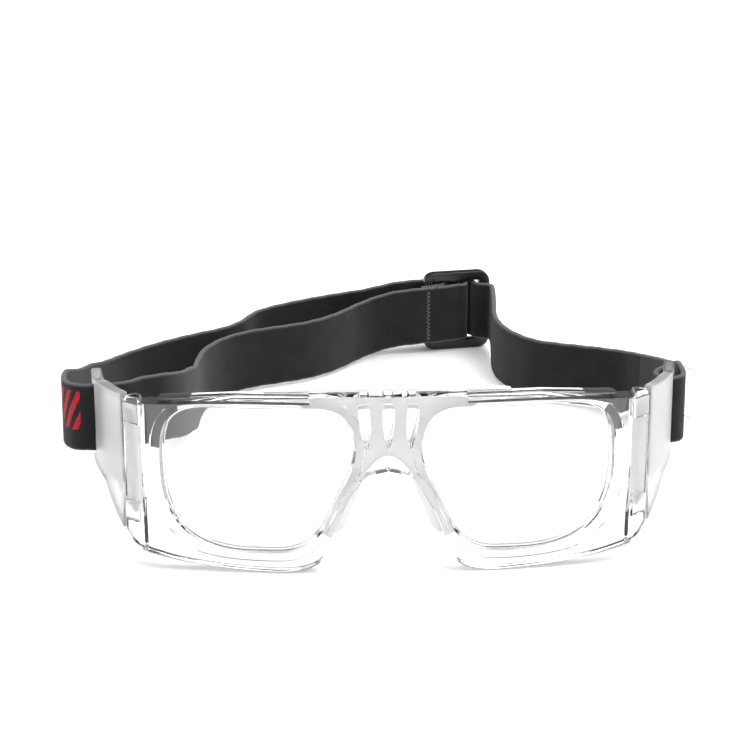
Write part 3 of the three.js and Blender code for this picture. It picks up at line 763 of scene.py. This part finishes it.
def arm_outline():
    low = WEB_HIGH - sizes().webbing_width / 2 - SLOT_MARGIN
    start = 11.0
    return rounded([
        (start, ARM_TOP - 0.3, 0.3), (SLOT_FRONT - 6, ARM_TOP, 3), (SLOT_FRONT - 1, ARM_TOP - 1.4, 2),
        (ARM_END, ARM_TOP - 0.2, 1.6), (ARM_END, low - 2.6, 1.6), (SLOT_FRONT - 3, low - 3.2, 2.5),
        (SLOT_FRONT - 9.7, low - 4.4, 2.5), (start + 0.5, CORNER_RISE + 0.6, 0.4),
        (start, CORNER_RISE + 0.3, 0.1),
    ], 6)


def plate_rows(inner, outer, fillet, thickness, parts):
    """The section of a flat ring between two outlines, with rounded edges on all four sides."""
    f = fillet
    edge = [(0.0, f), (0.08 * f, 0.62 * f), (0.3 * f, 0.3 * f), (0.62 * f, 0.08 * f), (f, 0.0)]
    front = [(inner + r, d) for r, d in edge] if inner > 0 else [(0.0, 0.0)]
    middle = [inner + (outer - inner) * k / parts for k in range(1, parts)]
    front += [(min(max(r, inner + f), outer - f), 0.0) for r in middle]
    front += [(outer - r, d) for r, d in reversed(edge)]
    back = [(r, thickness - d) for r, d in reversed(front)]
    return front + back + ([front[0]] if inner > 0 else [])


def plan_plate(name, outline, hole, centre, front, thickness, fillet, parts=8, count=220):
    """A wall that follows the plan curve. Outlines are (depth, height); a hole is optional."""
    angles = ring_angles(outline, centre, count)
    outer = reach(outline, centre, angles)
    inner = reach(hole, centre, angles) if hole is not None else np.zeros(len(angles))
    sections = [plate_rows(a, b, fillet, thickness, parts) for a, b in zip(inner, outer)]

    def place(i, j):
        i %= len(angles)
        r, deep = sections[i][j]
        y = centre[0] + r * math.cos(angles[i])
        z = centre[1] + r * math.sin(angles[i])
        return at(*Plan.place(Plan.at_y(y), front + deep, z))

    return mapped_grid(name, len(angles), len(sections[0]) - 1, place)


TONGUE_LEVELS = (12.1, 39.8)
TONGUE_HEIGHT = 5.0
TONGUE_LENGTH = 4.2
TONGUE_HALF_WALL = 0.6


def tongue(name, z, grow):
    """A flat tongue that follows the wall, or its pocket when it is grown."""
    start, end = Plan.at_x(FRAME_HALF - TONGUE_LENGTH - grow), Plan.at_x(FRAME_HALF + 1.2)
    middle, half = WING_INSET + WING_WALL / 2, TONGUE_HALF_WALL + grow
    low, high = z - grow, z + TONGUE_HEIGHT + grow
    corners = [(middle - half, low), (middle + half, low), (middle + half, high), (middle - half, high)]

    def place(i, j):
        inward, level = corners[j % 4]
        return at(*Plan.place(start + (end - start) * i / 10, inward, level))

    return mapped_grid(name, 10, 4, place, ends="CLOSED")


def joined(name, pieces):
    deselect()
    for piece in pieces:
        piece.select_set(True)
    bpy.context.view_layer.objects.active = pieces[0]
    bpy.ops.object.join()
    pieces[0].name = name
    return pieces[0]


class GOGGLES_OT_arms(bpy.types.Operator):
    """Model the two side arms with their strap slots and tongues"""

    bl_idname = "goggles.arms"
    bl_label = "Side arms"

    def execute(self, context):
        centre = ((SLOT_FRONT + SLOT_BACK) / 2, WEB_HIGH)
        wall = plan_plate(
            "right_arm_wall", arm_outline(), slot_outline(), centre, WING_INSET, ARM_WALL, 0.55, 10, 260)
        tongues = [tongue(f"tongue_{k}", z, 0.0) for k, z in enumerate(TONGUE_LEVELS)]
        for part in tongues:
            apply_modifier(wall, "BOOLEAN", operation="UNION", solver="EXACT", object=part)
            bpy.data.objects.remove(part)
        wall.name = "right_arm_moulding"
        smooth(wall, 32)
        left = mirrored(wall, "left_arm_moulding")
        material = satin_polycarbonate()
        settle(wall, material, "goggle_front", "clear_polycarbonate", "right_arm")
        settle(left, material, "goggle_front", "clear_polycarbonate", "left_arm")
        return {"FINISHED"}


# ---------------------------------------------------------------- soft pads
PAD_THICKNESS = 2.4
PAD_FRONT = 5.5  # depth of the nose pad's front, behind the rims


def side_pad_outline():
    front, back, low, top = 9.0, SLOT_FRONT - 0.8, 13.0, 43.2
    return rounded([
        (front, top, 2), (back, top, 3), (back, low + 10.5, 3), (front + 7, low + 8, 3), (front, low, 1),
    ], 6)


def remeshed(piece, size, rounds):
    apply_modifier(piece, "REMESH", mode="VOXEL", voxel_size=size * MM)
    apply_modifier(piece, "SMOOTH", factor=0.5, iterations=rounds)
    deselect()
    piece.select_set(True)
    bpy.context.view_layer.objects.active = piece
    bpy.ops.object.shade_smooth()


class GOGGLES_OT_side_pads(bpy.types.Operator):
    """Model the soft pads inside the arms"""

    bl_idname = "goggles.side_pads"
    bl_label = "Side pads"

    def execute(self, context):
        front = WING_INSET + ARM_WALL + FIT
        pad = plan_plate("right_pad", side_pad_outline(), None, (18, 28), front, PAD_THICKNESS, 0.7, 8, 120)
        smooth(pad, 40)
        left = mirrored(pad, "left_side_cushion")
        pad.name = "right_side_cushion"
        material = frosted_silicone()
        settle(pad, material, "goggle_front", "frosted_silicone", "right_side_pad")
        settle(left, material, "goggle_front", "frosted_silicone", "left_side_pad")
        return {"FINISHED"}


PAD_LOW = 9.0
PAD_ARCH = ARCH_TOP + 3.0
PAD_BROW = 47.0
PAD_LAP = 0.6  # over the middle, so that the halves join, and back from the lens openings
PAD_SPAN = 33.0
FLAP_TOP, FLAP_FOOT = 25.8, 9.6


def pad_inner(z):
    """Half width of the nose arch in the pad at a height."""
    if z >= PAD_ARCH:
        return 0.0
    q = math.sqrt((PAD_ARCH - z) / (PAD_ARCH - PAD_LOW))
    return q * q * (ARCH_HALF - 2) + 12 * q * (1 - q)


def lens_side(outline, z):
    """The lens opening's inner side at a height."""
    a, b = outline, np.roll(outline, -1, axis=0)
    crossing = (a[:, 1] - z) * (b[:, 1] - z) <= 0
    a, b = a[crossing], b[crossing]
    run = np.where(np.abs(b[:, 1] - a[:, 1]) < 1e-9, 1e-9, b[:, 1] - a[:, 1])
    return float(np.min(a[:, 0] + (b[:, 0] - a[:, 0]) * np.clip((z - a[:, 1]) / run, 0, 1)))


def pad_leg():
    """Half of the pad's plate: from the nose arch to the lens opening, and from its foot up to the brow."""
    outline = lens_outline()
    levels = np.linspace(PAD_LOW, PAD_BROW + 0.6, 60)
    inner = [pad_inner(z) or -PAD_LAP for z in levels]
    sides = [(a, lens_side(outline, min(z, LENS_TOP - 0.8)) - PAD_LAP) for a, z in zip(inner, levels)]
    front, back = PAD_FRONT, PAD_FRONT + PAD_THICKNESS
    ring = [(k / 8, front) for k in range(9)] + [(1 - k / 8, back) for k in range(9)]

    def place(i, j):
        low, high = sides[i]
        share, inward = ring[j % len(ring)]
        x = low + (max(high, low + 1.0) - low) * share
        return at(*Plan.place(Plan.at_x(max(x, 0)), inward, levels[i])) + Vector((min(x, 0) * MM, 0, 0))

    return mapped_grid("pad_leg", len(levels) - 1, len(ring), place, ends="CLOSED")


def pad_brow():
    """Half of the pad's brow strip, a low arch above the rail."""
    front, back = PAD_FRONT, PAD_FRONT + PAD_THICKNESS
    low = PAD_BROW - 2.4

    def place(i, j):
        x = PAD_SPAN * i / 40
        top = 49.0 + 1.7 * (1 - (x / PAD_SPAN) ** 2)
        inward, z = [(front, low), (back, low), (back, top), (front, top)][j % 4]
        if x > 18:
            z = max(z, low + 2.4 * min(1, (x - 18) / 6))
        return at(*Plan.place(Plan.at_x(x), inward, z)) - Vector((0.3 * MM if i == 0 else 0, 0, 0))

    return mapped_grid("pad_brow", 40, 4, place, ends="CLOSED")


def nose_flap():
    """The flap that leans on the side of the nose."""
    def place(i, j):
        t = i / 16
        z = FLAP_TOP + (FLAP_FOOT - FLAP_TOP) * t
        x = 5.9 + (12.1 - 5.9) * t ** 1.1
        deep = 14.4 - 2.6 * (2 * t - 1) ** 4
        x0, y0 = [(x, 6.0), (x + 2.3, 6.0), (x + 1.9, deep), (x + 0.2, deep)][j % 4]
        return at(x0, y0, z)

    return mapped_grid("nose_flap", 16, 4, place, ends="CLOSED")


class GOGGLES_OT_nose_pad(bpy.types.Operator):
    """Model the soft brow and nose pad behind the bridge"""

    bl_idname = "goggles.nose_pad"
    bl_label = "Nose pad"

    def execute(self, context):
        halves = [pad_leg(), pad_brow(), nose_flap()]
        halves += [mirrored(piece, piece.name + "_left") for piece in halves]
        pad = joined("nose_cushion", halves)
        remeshed(pad, 0.38, 5)
        for x, lean in VENTS:
            cut(pad, cutter("pad_vent_tool", teardrop(x, lean), 3, 30))
        smooth(pad, 40)
        settle(pad, frosted_silicone(), "goggle_front", "frosted_silicone", "nose_pad")
        return {"FINISHED"}


# ---------------------------------------------------------------- webbing
SLIDER_SIZE = (22.0, 3.0, 26.0)
SLIDER_SLOT = 5.4  # length of each of its two slots
SLIDER_SLOT_AT = 4.7  # from its middle to the middle of each slot
JOINTS = {joint["name"]: joint for joint in frame["record"]["behaviour"]["joints"]}
SLIDER_TURN = math.atan2(JOINTS["slider_slide"]["axis"][1], JOINTS["slider_slide"]["axis"][0])
SLIDER_AT = (
    ((SLIDER_LOW.x + SLIDER_HIGH.x) / 2 - CENTRE_X) / MM,
    ((SLIDER_LOW.y + SLIDER_HIGH.y) / 2 - FACE_Y) / MM,
    SLIDER_SIZE[2] / 2,
)
BELOW = 10.1  # height of the webbing's middle where its edge lies near the floor


def by_slider(x, y, z=0.0):
    """A point given about the slider's own centre."""
    c, s = math.cos(SLIDER_TURN), math.sin(SLIDER_TURN)
    return (SLIDER_AT[0] + x * c - y * s, SLIDER_AT[1] + x * s + y * c, SLIDER_AT[2] + z)


LEFT_LOOP = [
    (-70, 30.6, 34.2), (-74, 28.9, 34.5), (-77.6, 28.1, 34.6), (-80.8, 28.1, 34.6), (-83.4, 29.2, 34.5),
    (-85.3, 31.8, 34.2),
]
LEFT_OUTER = [
    (-85.6, 32.3, 34.2), (-86.6, 37, 33.8), (-86.7, 45, 32.6), (-86.3, 60, 27.6), (-85.4, 78, 21.4),
    (-83.6, 98, 15.8), (-80.3, 112, 11.8), (-74.3, 124.2, BELOW), (-64.9, 133.3, BELOW),
    (-55.2, 140.6, BELOW), (-45.4, 147, BELOW), (-40.4, 152.7, BELOW), (-35.4, 162.6, BELOW),
    (-30.3, 167.5, BELOW), (-19.9, 174.4, BELOW), (-9.4, 179.3, 10.3), (0, 180.4, 11.4),
]
LEFT_INNER = [
    (-69.6, 30.8, 34.2), (-65.6, 34.8, 34), (-59.8, 39.2, 33.4), (-55.4, 47.5, 31), (-53.3, 62, 27),
    (-52.6, 80, 21), (-52.8, 100, 15), (-52.6, 116, 11), (-50.9, 127, BELOW), (-45.3, 136.8, BELOW),
    (-37.2, 143.4, BELOW), (-27.6, 147.6, BELOW), (-19.5, 151.3, BELOW), (-12.9, 156.4, BELOW),
    (-7.9, 162, BELOW), (-2.9, 168.2, 10.3), (2.2, 172.2, 11), (8.6, 174.2, 12.2),
]
RIGHT_RUN = [
    (41, 179.2, 12.9), (41.4, 176.4, 12.6), (41.2, 169, 11.2), (40.6, 159, BELOW), (41.4, 149, BELOW),
    (44.6, 139.8, BELOW), (51, 131.4, BELOW), (59, 127.4, BELOW), (68, 124, BELOW), (76.6, 118.6, 10.6),
    (81.4, 110, 12.4), (83.8, 95, 16.6), (84.6, 80, 21), (83.8, 62, 27), (82.7, 50, 31.4),
]
RIGHT_LOOP = [
    (82, 44.2, 33), (81.8, 39, 34), (81.5, 33, 34.5), (80.6, 29.6, 34.6), (78.4, 28.1, 34.6),
    (76, 28.3, 34.6), (74.1, 30.4, 34.6), (74.2, 33.6, 34.5), (76.4, 38, 34), (79.8, 44.2, 33),
]
SEWN_END = [
    (-12.9, -4.85), (-8, -4.35), (-3, -3.45), (0, -2.75), (2.25, -2.35), (3.05, -0.9), (3.05, 0.9),
    (2.25, 2.35), (0, 2.65), (-2.25, 2.35), (-3.55, 1), (-4.35, -0.5), (-6.25, -2.15), (-9.05, -2.55),
    (-11.95, -2.85),
]
WOVEN_PASS = [(-19.6, 3.15), (-12, 4.35), (-4, 4.55), (2.4, 4.15), (4.9, 1.95), (5.7, 0.4)]
RIGHT_START = [(5.7, 0.4), (6.6, -2.4), (8.6, -3.1)]


def centripetal(points, spacing):
    """Points spaced evenly along a centripetal Catmull-Rom curve, and the distance along it of each."""
    p = np.array(points, float)
    p = np.concatenate([[2 * p[0] - p[1]], p, [2 * p[-1] - p[-2]]])
    dense = []
    for i in range(1, len(p) - 2):
        q = p[i - 1:i + 3]
        gaps = np.maximum(np.linalg.norm(np.diff(q, axis=0), axis=1) ** 0.5, 1e-6)
        knots = np.concatenate([[0], np.cumsum(gaps)])

        def between(start, end, t, first, second):
            share = (t - knots[start]) / (knots[end] - knots[start])
            return (1 - share) * first + share * second

        for t in np.linspace(knots[1], knots[2], 24, endpoint=False):
            a = [between(k, k + 1, t, q[k], q[k + 1]) for k in range(3)]
            b = [between(k, k + 2, t, a[k], a[k + 1]) for k in range(2)]
            dense.append(between(1, 2, t, *b))
    dense = np.array([*dense, p[-2]])
    along = np.concatenate([[0], np.cumsum(np.linalg.norm(np.diff(dense, axis=0), axis=1))])
    even = np.linspace(0, along[-1], max(8, int(along[-1] / spacing)))
    return np.stack([np.interp(even, along, dense[:, k]) for k in range(3)], 1), even


def webbing_section():
    """The outline of the webbing's section, as (through, up) pairs in millimetres: flat, with soft edges."""
    half, tall = sizes().webbing_thickness / 2, sizes().webbing_width / 2
    rises = [-tall + 0.5 + (2 * tall - 1) * k / 12 for k in range(13)]
    side = [(half, z) for z in rises]
    cap = [(half * 0.8, tall - 0.16), (half * 0.35, tall), (-half * 0.35, tall), (-half * 0.8, tall - 0.16)]
    around = side + cap
    return around + [(-through, -up) for through, up in around]


def band(name, points, spacing=1.1):
    """A length of webbing on edge along the points. Its UV map is metres along it and up it."""
    line, along = centripetal(points, spacing)
    tangent = np.gradient(line[:, :2], axis=0)
    tangent /= np.linalg.norm(tangent, axis=1)[:, None]
    section = webbing_section()

    def place(i, j):
        through, up = section[j % len(section)]
        x, y, z = line[i]
        sway = 0.06 * math.sin(along[i] * 0.9) + 0.04 * math.sin(along[i] * 2.3 + 1)
        return at(x - tangent[i][1] * through, y + tangent[i][0] * through, z + up + sway * up / 10)

    def uv(i, j):
        through, up = section[j % len(section)]
        return (along[i] * MM, up * MM)

    piece = mapped_grid(name, len(line) - 1, len(section), place, uv, ends="CLOSED")
    smooth(piece, 60)
    return piece


def middle_of(points, index):
    """Two lists that share the point at index."""
    return points[:index + 1], points[index:]


class GOGGLES_OT_webbing(bpy.types.Operator):
    """Model the elastic strap: two layers on the left, one on the right"""

    bl_idname = "goggles.webbing"
    bl_label = "Elastic strap"

    def execute(self, context):
        inner_front, inner_back = middle_of(LEFT_INNER, 6)
        outer_front, outer_back = middle_of(LEFT_OUTER, 5)
        run_back, run_front = middle_of(RIGHT_RUN, 10)
        plain, printed = woven_webbing(), woven_webbing(printed=True)
        loop = band("webbing_left_front", [*reversed(inner_front), *LEFT_LOOP, *outer_front])
        near = band("webbing_left_near", [*inner_back, *[by_slider(*p) for p in SEWN_END]], 0.8)
        far = band("webbing_left_far", [*outer_back, *[by_slider(*p) for p in WOVEN_PASS]])
        right = band("webbing_right_back", [*[by_slider(*p) for p in RIGHT_START], *run_back], 0.9)
        right_loop = band("webbing_right_front", [*run_front, *RIGHT_LOOP], 0.9)
        settle(loop, printed, None, "black_webbing", "strap_left_loop")
        settle(near, plain, None, "black_webbing", "strap_left_inner", "strap_sewn_end")
        settle(far, plain, None, "black_webbing", "strap_left_outer", "strap_woven_pass")
        settle(right, plain, None, "black_webbing", "strap_right_run")
        settle(right_loop, plain, None, "black_webbing", "strap_right_loop")
        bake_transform(loop)
        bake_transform(right_loop)
        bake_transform(near)
        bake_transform(far)
        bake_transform(right)
        return {"FINISHED"}


# ---------------------------------------------------------------- slider and thread
class GOGGLES_OT_slider(bpy.types.Operator):
    """Model the three-bar slider"""

    bl_idname = "goggles.slider"
    bl_label = "Slider"

    def execute(self, context):
        length, thick, tall = SLIDER_SIZE
        corners = [(a * length / 2, b * tall / 2, 4.2) for a, b in ((1, 1), (-1, 1), (-1, -1), (1, -1))]
        piece = cutter("three_bar_slider", rounded(corners, 10), -thick / 2, thick / 2)
        piece.data.transform(Matrix.Translation(-at(0, 0, 0)))
        for side in (-1, 1):
            bpy.ops.mesh.primitive_cube_add(size=1)
            tool = context.object
            hole = (SLIDER_SLOT, 12, sizes().webbing_width + 1.2)
            tool.data.transform(Matrix.Diagonal((*[s * MM for s in hole], 1)))
            tool.data.transform(Matrix.Translation((side * SLIDER_SLOT_AT * MM, 0, 0)))
            cut(piece, tool)
        apply_modifier(piece, "BEVEL", width=0.55 * MM, segments=4, limit_method="ANGLE", angle_limit=0.6)
        turn = Matrix.Translation(at(*SLIDER_AT)) @ Matrix.Rotation(SLIDER_TURN, 4, "Z")
        piece.data.transform(turn)
        smooth(piece, 40)
        settle(piece, black_acetal(), "adjuster", "black_acetal", "slider")
        return {"FINISHED"}


def tube(name, points, radius, sides=8):
    """A round thread along points, closed at both ends."""
    line, _ = centripetal(points, radius * 1.3)
    tangent = np.gradient(line, axis=0)
    tangent /= np.linalg.norm(tangent, axis=1)[:, None]
    side = np.cross(tangent, (0.31, 0.52, 0.79))
    side /= np.linalg.norm(side, axis=1)[:, None]
    up = np.cross(tangent, side)

    def place(i, j):
        angle = 2 * math.pi * (j % sides) / sides
        end = min(i, len(line) - 1 - i)
        r = radius * math.sin(min(1, (end + 0.4) / 3) * math.pi / 2)
        return at(*(line[i] + r * (math.cos(angle) * side[i] + math.sin(angle) * up[i])))

    piece = mapped_grid(name, len(line) - 1, sides, place, ends="CLOSED")
    smooth(piece, 60)
    return piece


def zigzag(count, low, high, swing, place):
    """Points of a zigzag seam: the thread lies on the face and turns from side to side from low to high."""
    points = []
    for k in range(count * 2 + 1):
        side = -1 if k % 2 == 0 else 1
        points.append(place(side * swing, low + (high - low) * k / (count * 2)))
    return points


class GOGGLES_OT_thread(bpy.types.Operator):
    """Model the sewn seams, the thread tails and the loose fibres at the cut end"""

    bl_idname = "goggles.thread"
    bl_label = "Seams"

    def execute(self, context):
        material = sewing_thread()
        tall = sizes().webbing_width / 2 - 1.2
        count = sizes().stitches
        seam = tube("seam_at_slider", zigzag(
            count, -tall, tall, 0.55, lambda a, z: by_slider(-10.4 + a, -5.35 - 0.03 * a, z)), 0.14)
        settle(seam, material, "adjuster", "sewing_thread", "slider_seam_thread")
        stand = sizes().webbing_thickness / 2 + 0.06
        arm = tube("seam_at_arm", zigzag(
            count, -tall, tall, 0.55, lambda a, z: (81.8 + stand, 39 + a, 34 + z)), 0.14)
        settle(arm, material, "goggle_front", "sewing_thread", "arm_seam_thread")
        for k, z in enumerate((42.6, 28.4)):
            tail = tube(f"thread_tail_{k}", [
                (82.4, 40, z), (83.2, 39.4, z + 0.2), (84.4, 38.6, z - 0.3), (85.3, 38.4, z + 0.3)], 0.11, 6)
            settle(tail, material, "goggle_front", "sewing_thread")
        fuzz = woven_webbing()
        rng = np.random.default_rng(4)
        for k in range(10):
            x = -11.5 + 4.5 * rng.random()
            lean, rise = rng.normal(0, 0.6), 0.5 + 0.9 * rng.random()
            y = -2.9 if k % 2 else -4.9
            fibre = tube(f"loose_fibre_{k}", [
                by_slider(x, y, tall + 0.9), by_slider(x + lean * 0.4, y, tall + 1.2 + rise * 0.5),
                by_slider(x + lean, y + rng.normal(0, 0.3), tall + 1.2 + rise)], 0.06, 5)
            settle(fibre, fuzz, "adjuster", "black_webbing")
        return {"FINISHED"}


# ---------------------------------------------------------------- the stage
CAMERA_AZIMUTH = math.radians(-2.5)
CAMERA_ELEVATION = math.radians(24)
CAMERA_DISTANCE = 0.70
CAMERA_LENS = 126.72  # millimetres, on a sensor 36 mm wide
FOOT_DOWN, FOOT_RIGHT = 0.075, 0.00511364  # the front's foot from the view's middle, as tangents
LIGHTS = (  # name, place, side of its square, watts
    ("key", (0.7, -0.6, 1.3), 0.9, 14),
    ("top", (0.2, 0.5, 1.4), 1.2, 14),
)


def add_card(name, size, place, turn, surface, colour, roughness):
    """A plane that belongs to the studio."""
    bpy.ops.mesh.primitive_plane_add(size=size, location=place, rotation=turn)
    card = bpy.context.object
    card.name = name
    material, _, shader = new_material(surface)
    shader.inputs["Base Color"].default_value = linear(colour)
    shader.inputs["Roughness"].default_value = roughness
    card.data.materials.append(material)
    return card


def add_world():
    """Even white light from all round."""
    world = bpy.data.worlds.new("studio")
    world.use_nodes = True
    background = world.node_tree.nodes["Background"]
    background.inputs[0].default_value = (1, 1, 1, 1)
    background.inputs[1].default_value = 1.0
    bpy.context.scene.world = world


def add_lights():
    for name, place, size, power in LIGHTS:
        light = bpy.data.lights.new(name, "AREA")
        light.energy = power
        light.size = size
        lamp = bpy.data.objects.new(name, light)
        bpy.context.scene.collection.objects.link(lamp)
        lamp.location = place
        lamp.rotation_euler = (-Vector(place)).to_track_quat("-Z", "Y").to_euler()


def add_camera():
    """A camera in front and above, with the foot of the goggles' bridge low in its view."""
    data = bpy.data.cameras.new("camera")
    camera = bpy.data.objects.new("camera", data)
    bpy.context.scene.collection.objects.link(camera)
    level = math.cos(CAMERA_ELEVATION)
    away = Vector((
        math.sin(CAMERA_AZIMUTH) * level, -math.cos(CAMERA_AZIMUTH) * level, math.sin(CAMERA_ELEVATION)))
    camera.location = at(0, 0, 0) + CAMERA_DISTANCE * away
    tilt = CAMERA_ELEVATION - math.atan(FOOT_DOWN)
    pan = CAMERA_AZIMUTH + math.atan(FOOT_RIGHT) / level
    camera.rotation_euler = (math.pi / 2 - tilt, 0, pan)
    data.sensor_width = 36
    data.lens = CAMERA_LENS
    data.clip_end = 20
    bpy.context.scene.camera = camera


class GOGGLES_OT_stage(bpy.types.Operator):
    """Add the floor, the flag, the lights and the camera"""

    bl_idname = "goggles.stage"
    bl_label = "Stage"

    def execute(self, context):
        deselect()
        add_card("floor", 6, (0, 0, -0.0002), (0, 0, 0), "paper_sweep_white", "#FAFAFA", 0.9)
        upright = (math.pi / 2, 0, 0)
        flag = add_card("black_flag", 1, (0, 2.7, 1.15), upright, "black_felt", "#4C4C4C", 1.0)
        flag.scale = (5.5, 1.7, 1)
        add_world()
        add_lights()
        add_camera()
        context.scene.view_settings.view_transform = "Standard"
        return {"FINISHED"}


OPERATORS = (
    GOGGLES_OT_stage,
    GOGGLES_OT_front,
    GOGGLES_OT_lenses,
    GOGGLES_OT_arms,
    GOGGLES_OT_side_pads,
    GOGGLES_OT_nose_pad,
    GOGGLES_OT_webbing,
    GOGGLES_OT_slider,
    GOGGLES_OT_thread,
)


class GOGGLES_PT_panel(bpy.types.Panel):
    bl_label = "Sports goggles"
    bl_idname = "GOGGLES_PT_panel"
    bl_space_type = "VIEW_3D"
    bl_region_type = "UI"
    bl_category = "Goggles"

    def draw(self, context):
        for operator in OPERATORS:
            self.layout.operator(operator.bl_idname)


CLASSES = (GoggleSizes, GoggleColours, *OPERATORS, GOGGLES_PT_panel)


def register():
    for cls in CLASSES:
        bpy.utils.register_class(cls)
    bpy.types.Scene.goggle_sizes = bpy.props.PointerProperty(type=GoggleSizes)
    bpy.types.Scene.goggle_colours = bpy.props.PointerProperty(type=GoggleColours)


def unregister():
    del bpy.types.Scene.goggle_colours
    del bpy.types.Scene.goggle_sizes
    for cls in reversed(CLASSES):
        bpy.utils.unregister_class(cls)


def main():
    register()
    for operator in OPERATORS:
        group, name = operator.bl_idname.split(".")
        getattr(getattr(bpy.ops, group), name)()


if __name__ == "__main__":
    main()
